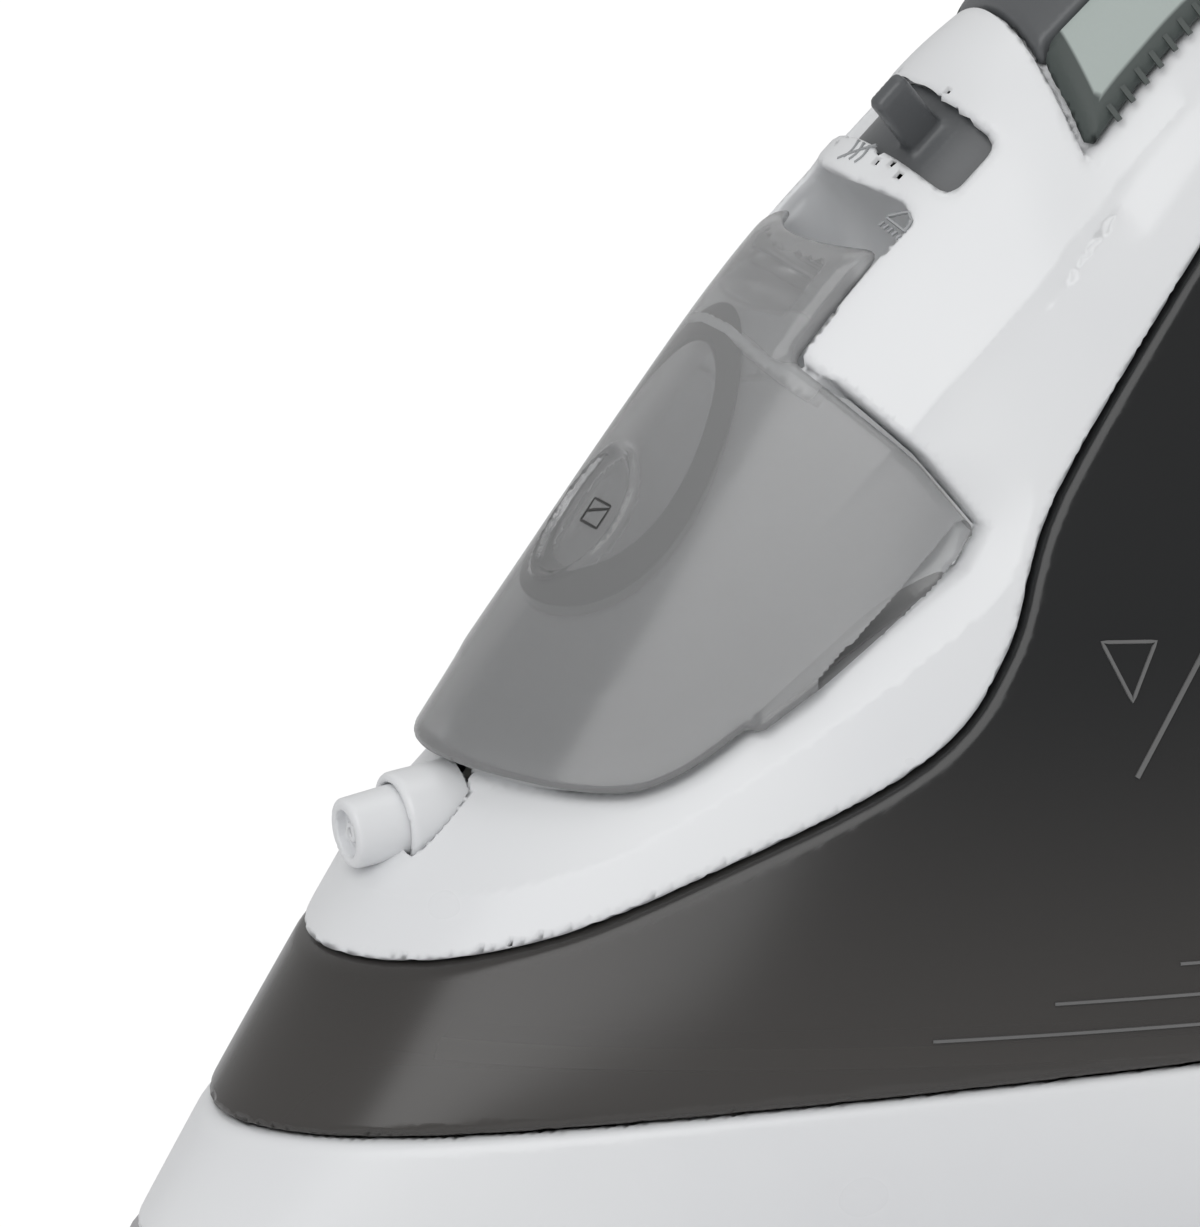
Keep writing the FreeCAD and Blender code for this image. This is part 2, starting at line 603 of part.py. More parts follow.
keep("thermostat_base", block(156, 180, 9, CASTING_TOP / TALL, 19))
keep("thermostat_blades", Part.Compound([block(158, 178, 4, 19, 19.5), block(162, 178, 3, 19.5, 20.7)]))
keep("thermal_fuse", rod(2.5, spot(186, 0, CASTING_TOP / TALL + 2.5), spot(204, 0, CASTING_TOP / TALL + 2.5)))
keep("pilot_lens", upright(2.95, LAMP, 0, CROWN - size("insert_thickness"), CROWN))
keep("pilot_lamp", upright(2.4, LAMP, 0, 122, 132))

# Rear: bracket, cover, cord inlet and terminals.
boss_spots = [(22, 46), (-22, 46)]


def backward(radius, y, z, s0, s1):
    return rod(radius, spot(s0, y, z), spot(s1, y, z))


plate_room = hollow.common(hollow_zone)
bracket = plate_room.common(block(236, 239, REACH, 29.5, 128))
bracket = bracket.multiFuse([backward(4, y, z, 238, 279.8) for y, z in boss_spots])
bracket = bracket.cut(Part.Compound([backward(1.8, y, z, 262, 290) for y, z in boss_spots]))
bracket = bracket.cut(backward(4, 0, GLAND_HEIGHT, 230, 245))
keep("rear_bracket", bracket)
pocket = block(270, 300, 12, GLAND_HEIGHT - 12, GLAND_HEIGHT + 40)
shroud = block(267.5, 300, 14.5, GLAND_HEIGHT - 14.5, GLAND_HEIGHT + 40).common(outer)
cover_inner = form(3.0, 2, 150).common(block(200, 279.8, REACH, 20, 170))
lower = outer.common(cover_zone).cut(grip_zone).cut(skirt_zone).cut(heel_cut)
cover = lower.cut(cover_inner).fuse(shroud.common(lower)).cut(pocket)
cover = cover.cut(backward(size("gland_diameter") / 2, 0, GLAND_HEIGHT, 240, 290))
cover = cover.cut(Part.Compound([backward(1.8, y, z, 270, 290) for y, z in boss_spots]))
cover = cover.cut(Part.Compound([backward(3.6, y, z, 282, 290) for y, z in boss_spots]))
keep("rear_cover", cover)
rear_screws = [backward(1.8, y, z, 262, 282).fuse(backward(3.4, y, z, 282, 283.6)) for y, z in boss_spots]
keep("rear_screws", Part.Compound(rear_screws))
turned("cord_gland", [("Sizes.cord_bore / 2", "0"), ("Sizes.gland_diameter / 2 - 0.02", "0"),
                      ("Sizes.gland_diameter / 2 - 0.02", "24.4"), ("Sizes.gland_diameter / 2 + 2", "24.4"),
                      ("Sizes.gland_diameter / 2 + 2", "26.4"), ("Sizes.gland_diameter / 2 - 1", "28"),
                      ("Sizes.gland_diameter / 2 - 1.6", "35"), ("Sizes.cord_bore / 2", "35")],
       Placement(spot(245.8, 0, GLAND_HEIGHT) - Vector(size("length") / 2, 0, 0), Rotation(Vector(0, 1, 0), 90)))
keep("cord_clamp", block(239, 243, 12, GLAND_HEIGHT - 9, GLAND_HEIGHT - 4).fuse(
    block(239, 243, 12, GLAND_HEIGHT + 4, GLAND_HEIGHT + 8)))
clamp = [backward(1.5, y, GLAND_HEIGHT + 6, 243, 245.5) for y in (-8, 8)]
keep("clamp_screws", Part.Compound([c.fuse(backward(2.6, y, GLAND_HEIGHT + 6, 243, 244.8))
                                    for c, y in zip(clamp, (-8, 8))]))
keep("terminal_block", block(239, 250, 14, 62, 74))
leads = []
for side in (-1, 1):
    foot = pin_feet[0] if side > 0 else pin_feet[1]
    leads.append(chain(1.2, [foot + Vector(-6, 0, pipe + 8.25), spot(244, side * 26, 27.5),
                             spot(246, side * 8, 50), spot(244, side * 9, 61.8)]))
keep("power_leads", Part.Compound(leads))
keep("pump_intake", intake)

doc.recompute()
for thing in doc.Objects:
    if "Invalid" in thing.State or "Error" in thing.State:
        raise RuntimeError("%s failed: %s" % (thing.Label, thing.State))
for node in nodes:
    if node.Shape.isNull() or not node.Shape.isValid() or not node.Shape.Solids:
        raise RuntimeError("%s has no valid shape" % node.Label)

os.makedirs("parts", exist_ok=True)
for node in nodes:
    node.Shape.exportStep("parts/%s.step" % node.Label)
print("%d sub-parts" % len(nodes))
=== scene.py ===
import math

import bpy
import numpy as np
from mathutils import Matrix, Vector


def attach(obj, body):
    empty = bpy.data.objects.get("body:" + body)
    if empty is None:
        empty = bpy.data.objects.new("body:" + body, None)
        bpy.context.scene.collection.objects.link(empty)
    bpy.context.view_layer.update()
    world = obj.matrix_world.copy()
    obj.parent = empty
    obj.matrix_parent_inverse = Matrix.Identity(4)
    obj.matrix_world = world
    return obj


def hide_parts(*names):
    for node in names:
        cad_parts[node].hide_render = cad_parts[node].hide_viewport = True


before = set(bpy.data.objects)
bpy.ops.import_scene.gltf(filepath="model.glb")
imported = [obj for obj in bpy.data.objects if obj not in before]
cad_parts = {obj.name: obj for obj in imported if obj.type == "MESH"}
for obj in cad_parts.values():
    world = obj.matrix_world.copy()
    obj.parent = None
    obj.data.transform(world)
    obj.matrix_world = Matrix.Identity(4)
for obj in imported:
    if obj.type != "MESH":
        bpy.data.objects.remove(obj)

bl_info = {
    "name": "Steam iron",
    "version": (1, 0, 0),
    "blender": (4, 5, 0),
    "location": "View3D > Sidebar > Iron",
    "description": "Builds the visible shells, marks and materials of a steam iron over its CAD frame",
    "category": "Object",
}

# Drawing frame: s runs back from the tip of the sole, y across, z up, in millimetres.
HALF_LENGTH = 142.0
MM = 0.001

NOSE_AT = [(0, 0), (17, 11.2), (50, 32.6), (72, 49.1), (95, 67), (117.6, 91), (134, 110), (146, 132), (152, 160)]
TAIL_AT = [(0, 272), (6, 278), (14, 283), (30, 285.4), (118, 285.4), (130, 282), (142, 268), (149, 246),
           (152, 222)]
HALF_AT = [(0, 57.5), (10, 58.6), (26, 57.6), (38, 52.5), (48, 44), (58, 38.5), (75, 34), (90, 29.5),
           (105, 24.5), (118, 20.5), (130, 19), (140, 16.5), (148, 10.5), (152, 4.5)]
RADIUS_AT = [(0, 12), (17, 16.8), (60, 16), (85, 14), (100, 12), (121, 10), (152, 9)]
HEEL = 284.0
CROWN = 151.7
COLUMN = 214.0
COVER = 252.0
SKIRT_LOW = 4.6

SKIRT_SEAM = [(-40, 12), (-20, 13.8), (12, 16.6), (50, 20.6), (95, 24), (150, 27), (220, 29), (330, 30)]
HOOD_SEAM = [(-40, 30), (-20, 31), (17.4, 32), (35.3, 35.7), (53, 43.5), (72.2, 53.2), (80.8, 62.8), (87.5, 77.2),
             (104.9, 99.3), (116, 110)]
GRIP_EDGE = [(96.3, 107.2), (103, 114), (112, 121.5), (124, 127.5), (150, 131), (205, 131), (235, 127),
             (262, 117), (310, 98)]
LID_EDGE = [(10, 51), (32.7, 50.1), (43.6, 49.2), (50.3, 51), (60.2, 57.9), (78, 70.5)]
CHANNEL = [(-10, 36.5), (21, 38), (41.4, 43.3), (62.8, 56), (78.3, 66.6), (84, 74), (86, 84)]
CREASE = [(20, 57), (33, 58), (49.9, 60), (62, 71), (73.6, 82.2), (88, 96), (105.7, 112)]
OPENING = [(134, 78), (204, 78), (210, 118), (123, 118)]
OPENING_ROUND = 9.0
HINGE = (75.0, 94.0)
SCOOP = 10.0
SPRAY = 113.0
BURST = 136.0


def fair(points, spread=0.0, step=0.25):
    """Places and values of a run of stations, softened by a bell of the given spread."""
    places = np.array([place for place, _ in points], float)
    values = np.array([value for _, value in points], float)
    margin = 4 * spread + 12
    at = np.arange(places[0] - margin, places[-1] + margin, step)
    first = (values[1] - values[0]) / (places[1] - places[0])
    raw = np.interp(at, places, values)
    raw = np.where(at < places[0], values[0] + (at - places[0]) * first, raw)
    last = (values[-1] - values[-2]) / (places[-1] - places[-2])
    raw = np.where(at > places[-1], values[-1] + (at - places[-1]) * last, raw)
    if spread:
        reach = int(3 * spread / step)
        bell = np.exp(-0.5 * (np.arange(-reach, reach + 1) * step / spread) ** 2)
        raw = np.convolve(np.pad(raw, reach, mode="edge"), bell / bell.sum(), "valid")
    return at, raw


def reader(points, spread):
    at, values = fair(points, spread)
    return lambda place: np.interp(place, at, values)


nose_at = reader(NOSE_AT, 5.0)
tail_at = reader(TAIL_AT, 3.0)
half_at = reader(HALF_AT, 5.0)
radius_at = reader(RADIUS_AT, 8.0)


def form_field(s, y, z):
    """Implicit boat-shaped form: below zero inside."""
    half = np.maximum(half_at(z), 1.0)
    nose = nose_at(z)
    tail = tail_at(z)
    entry = 0.75 * half ** 2 / radius_at(z)
    leave = np.minimum(30.0, 0.9 * half)
    bow = 1 - np.clip(1 - (s - nose) / entry, 0, None) ** 1.5
    stern = 1 - np.clip(1 - (tail - s) / leave, 0, None) ** 2.4
    stern = np.sign(stern) * np.abs(stern) ** (1 / 1.2)
    return (y / half) ** 2 - bow * stern


def form(s, y, z, step=0.05):
    """Distance from the outer form, good near its surface."""
    base = form_field(s, y, z)
    ds = (form_field(s + step, y, z) - base) / step
    dy = (form_field(s, y + step, z) - base) / step
    dz = (form_field(s, y, z + step) - base) / step
    near = base / np.sqrt(ds ** 2 + dy ** 2 + dz ** 2 + 1e-8)
    return join(near, z - CROWN, 3.0)


def join(a, b, blend=0.0):
    """What lies inside both, with a rounded edge."""
    if not blend:
        return np.maximum(a, b)
    gap = np.clip(blend - np.abs(a - b), 0, None) / blend
    return np.maximum(a, b) + gap * gap * blend / 4


def both(a, b, blend=0.0):
    """What lies inside either, with a filled corner."""
    return -join(-a, -b, blend)


def less(a, b, blend=0.0):
    return join(a, -b, blend)


def smooth(low, high, value):
    f = np.clip((value - low) / (high - low), 0, 1)
    return f * f * (3 - 2 * f)


def curve(points, parts=6):
    """Rounded line through side-view points."""
    p = np.array(points, float)
    ends = np.vstack([2 * p[0] - p[1], p, 2 * p[-1] - p[-2]])
    line = []
    for a, b, c, d in zip(ends, ends[1:], ends[2:], ends[3:]):
        for i in range(parts):
            f = i / parts
            line.append(0.5 * (2 * b + (c - a) * f + (2 * a - 5 * b + 4 * c - d) * f ** 2
                               + (3 * b - a - 3 * c + d) * f ** 3))
    line.append(p[-1])
    return [tuple(q) for q in line]


def area(points):
    """Signed side-view distance from a closed outline, below zero inside."""
    corners = np.array(points, float)

    def distance(s, z):
        s, z = np.broadcast_arrays(s, z)
        best = np.full(s.shape, 1e9)
        odd = np.zeros(s.shape, bool)
        for (s0, z0), (s1, z1) in zip(corners, np.roll(corners, -1, axis=0)):
            es, ez = s1 - s0, z1 - z0
            size = es * es + ez * ez
            if size < 1e-9:
                continue
            f = np.clip(((s - s0) * es + (z - z0) * ez) / size, 0, 1)
            best = np.minimum(best, (s - s0 - f * es) ** 2 + (z - z0 - f * ez) ** 2)
            if ez:
                odd ^= ((z0 > z) != (z1 > z)) & (s < es * (z - z0) / ez + s0)
        return np.where(odd, -1, 1) * np.sqrt(best)

    return distance


def stroke(points):
    """Side-view distance from an open line, above zero on its left hand."""
    corners = np.array(points, float)

    def distance(s, z):
        s, z = np.broadcast_arrays(s, z)
        best = np.full(s.shape, 1e9)
        side = np.ones(s.shape)
        for (s0, z0), (s1, z1) in zip(corners, corners[1:]):
            es, ez = s1 - s0, z1 - z0
            f = np.clip(((s - s0) * es + (z - z0) * ez) / (es * es + ez * ez), 0, 1)
            away = (s - s0 - f * es) ** 2 + (z - z0 - f * ez) ** 2
            nearer = away < best - 1e-12
            best = np.where(nearer, away, best)
            cross = es * (z - z0) - ez * (s - s0)
            side = np.where(nearer, np.where(cross >= 0, 1, -1), side)
        return side * np.sqrt(best)

    return distance


seam_line = stroke(curve(SKIRT_SEAM))
hood_line = curve(HOOD_SEAM)
grip_line = curve(GRIP_EDGE)
lid_line = curve(LID_EDGE)
hood_end = (116, 110)
white_area = area(hood_line + [hood_end, (126, 104), (140, 90), (COLUMN, 90), (COLUMN, -40), (330, -40),
                               (330, 190), (-40, 190)])
tank_area = area(hood_line + [hood_end, (126, 104), (140, 90), (COLUMN, 90), (COLUMN, -40), (-40, -40)])
grip_area = area(grip_line + [(330, 98), (330, 190), (70, 190), (93.5, 122)])
opening_area = area(OPENING)
lid_area = area(lid_line + [(80.3, 74), (76, 80.5), (70, 87), (60, 84), (48, 96), (-10, 96)])
lid_plate = area([(s - 0.3, z + 0.45) for s, z in lid_line] + [(79.6, 73.9), (75.5, 80.1), (67, 89), (-10, 89)])
channel_rise = stroke(curve(CHANNEL))
crease_away = stroke(curve(CREASE))
ridge_away = stroke([(s + 1.5, z - 4.0) for s, z in grip_line])


def inset_outline(points, by):
    """A convex outline moved inwards, corner by corner."""
    p = np.array(points, float)
    centre = p.mean(axis=0)
    moved = []
    for before, here, after in zip(np.roll(p, 1, axis=0), p, np.roll(p, -1, axis=0)):
        n = []
        for a, b in ((before, here), (here, after)):
            normal = np.array([-(b - a)[1], (b - a)[0]]) / np.linalg.norm(b - a)
            n.append(normal if normal @ (centre - here) > 0 else -normal)
        moved.append(here + by * (n[0] + n[1]) / (1 + n[0] @ n[1]))
    return moved


opening_core = area(inset_outline(OPENING, OPENING_ROUND))


def hand_gap(s, z):
    """The finger opening, with round corners."""
    return opening_core(s, z) - OPENING_ROUND


SLOPE = Vector((0.73, 0, 0.68)).normalized()
OUTWARD = Vector((-0.68, 0, 0.73)).normalized()
SLOT_Z = 110.0


def plain_nose(z):
    """Nose station as the CAD reads it: smooth through the stations, never past them."""
    places = [a for a, _ in NOSE_AT]
    values = [b for _, b in NOSE_AT]
    spans = [b - a for a, b in zip(places, places[1:])]
    slopes = [(b - a) / span for a, b, span in zip(values, values[1:], spans)]
    ends = [slopes[0]] + [2 * a * b / (a + b) for a, b in zip(slopes, slopes[1:])] + [slopes[-1]]
    i = max(k for k, place in enumerate(places[:-1]) if z >= place)
    f = (z - places[i]) / spans[i]
    return ((1 + 2 * f) * (1 - f) ** 2 * values[i] + f * f * (3 - 2 * f) * values[i + 1]
            + spans[i] * (f * (1 - f) ** 2 * ends[i] + f * f * (f - 1) * ends[i + 1]))


LEVER_AXIS = Vector((plain_nose(SLOT_Z), 0, SLOT_Z)) - OUTWARD * 15.0


def lever_frame(s, y, z):
    """Along the slope, across, and out of it, from the lever's axis."""
    ds, dz = s - LEVER_AXIS.x, z - LEVER_AXIS.z
    return ds * SLOPE.x + dz * SLOPE.z, y, ds * OUTWARD.x + dz * OUTWARD.z


# Shapes: each takes the form's distance d and a place, and is below zero inside the piece.

def skirt_shape(d, s, y, z):
    wall = join(d, -(d + 2.4))
    band = join(seam_line(s, z) + 0.12, SKIRT_LOW - z, 0.4)
    return join(join(wall, band, 1.4), s - HEEL, 0.8)


def tank_shape(d, s, y, z):
    seam = -seam_line(s, z) + 0.12
    body = join(join(d, hand_gap(s, z) * -1, 2.4), tank_area(s, z) + 0.12, 1.2)
    body = join(body, seam, 1.2)
    core = join(join(d + 2.4, tank_area(s, z) + 2.4), 2.4 - hand_gap(s, z))
    return less(body, core, 0.3)


def channel_depth(s, z):
    rise = channel_rise(s, z)
    fade = 1 - smooth(68, 82, z)
    return np.clip(0.5 * rise, 0, 3.1) * fade


def crease_lift(s, z):
    """Raised edge where the hood's top meets its sides."""
    away = crease_away(s, z)
    return 0.75 * np.exp(-np.abs(away) / 3.2) * smooth(52, 66, z) * (1 - smooth(112, 124, z))


def groove_depth(s, z):
    """Hollow that runs under the grip's lower edge, up to a soft ridge."""
    away = ridge_away(s, z)
    inside = smooth(-3.5, 0.6, away) * smooth(88, 100, s) * (1 - smooth(206, 226, s))
    return 1.3 * inside


def housing_shape(d, s, y, z):
    white = join(d + channel_depth(s, z) - crease_lift(s, z) + groove_depth(s, z), white_area(s, z) + 0.12, 1.0)
    white = less(white, grip_area(s, z) - 0.15, 1.0)
    seat = join(d + 2.7, grip_area(s, z))
    body = both(white, seat, 0.2)
    body = join(body, -hand_gap(s, z), 5.0)
    body = join(body, both(s - COVER + 0.12, grip_area(s, z)), 1.0)
    body = join(body, -seam_line(s, z) + 0.12, 1.0)
    u, v, w = lever_frame(s, y, z)
    ring = np.sqrt(v ** 2 + w ** 2)
    cavity = join(join(d + 5.0, white_area(s, z) + 3.0), s - 114)
    body = less(body, cavity, 0.6)
    body = less(body, lid_area(s, z) - 0.1, 1.0)
    body = less(body, join(lid_outline(s, y, z) - 0.4, -(d + 2.8)), 1.0)
    scoop = np.sqrt((s - HINGE[0]) ** 2 + (z - HINGE[1]) ** 2)
    cup = join(join(scoop - SCOOP - 1.5, np.abs(y) - 13), d + 1.2)
    body = both(body, cup, 0.3)
    body = less(body, join(scoop - SCOOP, np.abs(y) - 11, 3.0), 1.2)
    slot = join(np.abs(u) - 3.6, np.abs(np.arctan2(v, w)) * 15 - 13.6, 2.0)
    slot = join(slot, 8 - ring)
    body = less(body, slot, 1.0)
    body = less(body, join(ring - 13.9, np.abs(u) - 5.2))
    collar = nozzle_frame(s, y, z)
    body = less(body, join(collar[1] - 4.95, 5 - collar[0]), 0.8)
    neck = join(np.hypot(s - 56, y) - 9.1, z - 66)
    body = less(body, neck)
    for place in (SPRAY, BURST):
        body = less(body, join(np.hypot(s - place, y) - 7.3, 119 - z))
    return body


def grip_shape(d, s, y, z):
    shell = join(d, -(d + 2.5))
    piece = join(shell, grip_area(s, z) + 0.15, 2.0)
    piece = less(piece, join(join(np.abs(y) - 9.1, s - 152.1), 112 - z), 1.0)
    piece = less(piece, np.hypot(s - 196, y) - 3.05, 0.2)
    return join(piece, s - HEEL, 0.6)


def panel_shape(d, s, y, z):
    shell = join(d + 0.25, -(d + 2.5))
    piece = join(join(shell, grip_area(s, z) + 0.15, 0.8), join(np.abs(y) - 8.8, s - 151.8, 1.0), 0.5)
    for place in (SPRAY, BURST):
        piece = less(piece, np.hypot(s - place, y) - 7.3, 0.5)
    return piece


def button_shape(place):
    def shape(d, s, y, z):
        crown = join(d - 2.2, -(d + 1.8))
        dish = 0.9 * np.exp(-((s - place) ** 2 + y ** 2) / 22)
        return join(crown + dish * (d > -1), join(np.hypot(s - place, y) - 6.95, -z + 100), 1.6)
    return shape


def cover_shape(d, s, y, z):
    shell = less(join(d, s - HEEL, 1.5), join(d + 3.0, s - 279.8))
    piece = join(join(shell, COVER + 0.12 - s, 0.6), 0.12 - seam_line(s, z), 0.5)
    piece = less(piece, grip_area(s, z) - 0.15, 0.4)
    wall = join(join(np.abs(y) - 14.5, GLAND_Z - 14.5 - z), join(267.5 - s, d + 1))
    piece = both(piece, join(wall, s - HEEL), 0.2)
    piece = less(piece, join(join(np.abs(y) - 12, GLAND_Z - 12 - z, 3.0), 270 - s), 1.0)
    piece = less(piece, grip_area(s, z) - 0.15)
    piece = less(piece, np.hypot(y, z - GLAND_Z) - 7.05)
    for side in (-1, 1):
        hole = np.hypot(y - side * 22, z - 46)
        piece = less(less(piece, hole - 1.8), join(hole - 3.6, 282 - s), 0.3)
    return piece


DIMPLE = (49.3, 73.5)


def lid_outline(s, y, z):
    """Side-view extent of the lid's plate and of the tongue that runs up to its hinge."""
    drum = np.hypot(s - HINGE[0], z - HINGE[1]) - 8.2
    tail = join(join(both(drum, z - 94.5, 1.0), np.abs(y) - 10.3, 3.0), join(84 - z, z - 98.5, 1.0), 1.5)
    return both(lid_plate(s, z), tail, 1.5)


def lid_shape(d, s, y, z):
    top = d - 0.6 * crease_lift(s, z)
    across = np.sqrt(((s - DIMPLE[0]) * 0.6 + (z - DIMPLE[1]) * 0.8) ** 2 / 49 + y ** 2 / 27)
    dish = 1.5 * np.clip(1 - across ** 2, 0, None) ** 0.5 - 0.35 * np.exp(-((across - 1.08) / 0.07) ** 2)
    shell = join(top + dish * (d > -2), -(d + 2.0 + np.clip(dish, 0, None) * 0.6))
    piece = join(shell, lid_outline(s, y, z), 1.2)
    edge = lid_away(s, z)
    lip = join(join(np.abs(edge - 0.7) - 0.8, join(d - 0.6, -(d + 1.6), 1.0), 1.0), join(57 - s, s - 76.5, 1.0), 1.0)
    piece = both(piece, join(lip, 38 - z), 0.8)
    hub = np.hypot(s - HINGE[0], z - HINGE[1])
    knuckle = both(join(hub - 2.6, np.abs(y) - 6.2, 0.5),
                   join(join(np.abs(z - HINGE[1]) - 2.2, np.abs(y) - 6.2, 0.5), join(s - HINGE[0], d + 0.5)))
    return less(both(piece, knuckle, 0.4), hub - 1.2)


def lever_shape(d, s, y, z):
    u, v, w = lever_frame(s, y, z)
    a = math.radians(LEVER_REST)
    v, w = v * math.cos(a) + w * math.sin(a), w * math.cos(a) - v * math.sin(a)
    ring = np.hypot(v, w)
    angle = np.abs(np.arctan2(v, w))
    band = join(join(np.abs(ring - 12.3) - 0.9, np.abs(u) - 4.5, 0.4), angle * 13 - 10.8, 0.6)
    hub = join(ring - 3.2, np.abs(u - 0.5) - 6.0, 0.5)
    spoke = join(join(np.abs(v) - 3.0 + 0.06 * w, np.abs(u) - 2.0, 0.5), join(-w, ring - 12.6))
    tab = join(join(np.abs(u) - 2.1, np.abs(v) - 1.0, 0.7), join(12.4 - w, w - 21.4, 0.9), 0.9)
    return less(both(both(band, hub, 0.5), both(spoke, tab, 0.8), 0.8), ring - 1.5)


def nozzle_frame(s, y, z):
    """Depth behind the nozzle's tip, and distance from its axis."""
    ds, dz = s - NOZZLE[0], z - NOZZLE[1]
    depth = ds * NOZZLE_BACK[0] + dz * NOZZLE_BACK[1]
    return depth, np.sqrt(np.maximum(ds ** 2 + dz ** 2 + y ** 2 - depth ** 2, 0))


NOZZLE = (24.6, 43.4)
NOZZLE_BACK = (1 / math.hypot(1, 0.12), 0.12 / math.hypot(1, 0.12))
LEVER_REST = 20.0
GLAND_Z = 98.0
lid_away = stroke(lid_line)


def nozzle_shape(d, s, y, z):
    depth, out = nozzle_frame(s, y, z)
    body = join(join(out - 3.5 - 0.04 * depth, -depth, 0.6), depth - 9, 0.1)
    face = join(out - 2.3, depth - 1.3, 0.3)
    pin = join(out - 1.1, 0.5 - depth, 0.3)
    return less(both(less(body, face, 0.3), join(pin, depth - 3), 0.2), out - 0.45)


def collar_shape(d, s, y, z):
    depth, out = nozzle_frame(s, y, z)
    ring = join(join(out - 4.88, 5.2 - depth, 0.8), depth - 12, 0.1)
    return less(ring, join(out - 3.9, depth - 9.02, 0.1), 0.3)


def lattice(s_runs, width, heights, pitch):
    """Grid lines: s in runs of (start, end, pitch), y from the middle out, z between two heights."""
    xs = np.concatenate([np.arange(start, end, step) for start, end, step in s_runs])
    ys = np.arange(-pitch / 2, width + pitch, pitch)
    return xs, ys, np.arange(heights[0], heights[1] + pitch, pitch)


def nets(shape, xs, ys, zs, mirrored=True):
    """Quad skin of a shape on a grid, drawn onto the shape itself."""
    s, y, z = xs[:, None, None], ys[None, :, None], zs[None, None, :]
    value = shape(form(s, y, z), s, y, z)
    value = np.broadcast_to(value, (len(xs), len(ys), len(zs)))
    inside = value < 0
    count = sum(inside[i:len(xs) - 1 + i, j:len(ys) - 1 + j, k:len(zs) - 1 + k].astype(np.int8)
                for i in (0, 1) for j in (0, 1) for k in (0, 1))
    cells = np.argwhere((count > 0) & (count < 8))
    index = np.full(count.shape, -1)
    index[tuple(cells.T)] = np.arange(len(cells))
    corner = np.array([(i, j, k) for i in (0, 1) for j in (0, 1) for k in (0, 1)])
    total = np.zeros((len(cells), 3))
    hits = np.zeros(len(cells))
    axes = (xs, ys, zs)

    def at(offset):
        i, j, k = (cells + offset).T
        return value[i, j, k], np.column_stack([axes[0][i], axes[1][j], axes[2][k]])

    samples = [at(offset) for offset in corner]
    for a in range(8):
        for b in range(a + 1, 8):
            if abs(corner[a] - corner[b]).sum() != 1:
                continue
            va, pa = samples[a]
            vb, pb = samples[b]
            cross = (va < 0) != (vb < 0)
            f = np.where(cross, va / np.where(cross, va - vb, 1), 0)
            total += np.where(cross[:, None], pa + (pb - pa) * f[:, None], 0)
            hits += cross
    points = total / hits[:, None]
    faces = []
    for axis in range(3):
        near = np.moveaxis(inside, axis, 0)
        flips = near[:-1] != near[1:]
        outward = near[:-1] & ~near[1:]
        where = np.argwhere(flips[:, 1:-1, 1:-1]) + (0, 1, 1)
        facing = outward[tuple(where.T)]
        rolled = np.moveaxis(index, axis, 0)
        i, j, k = where.T
        ring = np.column_stack([rolled[i, j - 1, k - 1], rolled[i, j, k - 1], rolled[i, j, k], rolled[i, j - 1, k]])
        turn = facing if axis != 1 else ~facing
        faces.append(np.where(turn[:, None], ring, ring[:, ::-1]))
    faces = np.concatenate(faces)
    cell_size = np.column_stack([np.diff(a)[c] for a, c in zip(axes, cells.T)]).min(axis=1)

    def slope(p, step=0.03):
        def read(q):
            return shape(form(*q.T), *q.T)
        here = read(p)
        grad = np.column_stack([(read(p + step * e) - read(p - step * e)) / (2 * step) for e in np.eye(3)])
        return here, grad

    for _ in range(3):
        here, grad = slope(points)
        move = -here[:, None] * grad / np.maximum((grad ** 2).sum(axis=1), 0.2)[:, None]
        reach = np.linalg.norm(move, axis=1)
        points = points + move * np.minimum(1, 0.35 * cell_size / np.maximum(reach, 1e-9))[:, None]
    _, normals = slope(points, 0.12)
    normals /= np.maximum(np.linalg.norm(normals, axis=1), 1e-9)[:, None]
    if mirrored:
        middle = cells[:, 1] == 0
        points[middle, 1] = 0
        normals[middle, 1] = 0
        twin = np.where(middle, np.arange(len(points)), len(points) + np.arange(len(points)))
        points = np.vstack([points, points * (1, -1, 1)])
        normals = np.vstack([normals, normals * (1, -1, 1)])
        faces = np.vstack([faces, twin[faces][:, ::-1]])
    return points, normals, faces


def body_mesh(name, points, normals, faces):
    """Blender object from a skin in drawing millimetres."""
    used, flat = np.unique(faces, return_inverse=True)
    points, normals, faces = points[used], normals[used], flat.reshape(faces.shape)
    mesh = bpy.data.meshes.new(name)
    mesh.vertices.add(len(points))
    mesh.vertices.foreach_set("co", ((points - (HALF_LENGTH, 0, 0)) * MM).ravel())
    mesh.loops.add(faces.size)
    mesh.loops.foreach_set("vertex_index", faces.ravel())
    mesh.polygons.add(len(faces))
    mesh.polygons.foreach_set("loop_start", np.arange(0, faces.size, 4))
    mesh.update(calc_edges=True)
    mesh.validate()
    mesh.shade_smooth()
    mesh.normals_split_custom_set_from_vertices(normals)
    obj = bpy.data.objects.new(name, mesh)
    bpy.context.scene.collection.objects.link(obj)
    return obj


# Marks: flat ribbons laid on the form.

def side_spot(s, z, side):
    """Point of the outer form at a station and height."""
    half = half_at(z)
    entry = 0.75 * half ** 2 / radius_at(z)
    bow = 1 - max(0.0, 1 - (s - nose_at(z)) / entry) ** 1.5
    return np.array([s, side * half * math.sqrt(max(bow, 0.0)), z])


def settle(points, lift=0.0):
    """Points drawn onto the form, with its normals."""
    p = np.array(points, float)
    for _ in range(6):
        here = form(*p.T) - lift
        grad = np.column_stack([(form(*(p + 0.05 * e).T) - lift - here) / 0.05 for e in np.eye(3)])
        p = p - (here / np.maximum((grad ** 2).sum(axis=1), 0.2))[:, None] * grad
    grad /= np.linalg.norm(grad, axis=1)[:, None]
    return p, grad


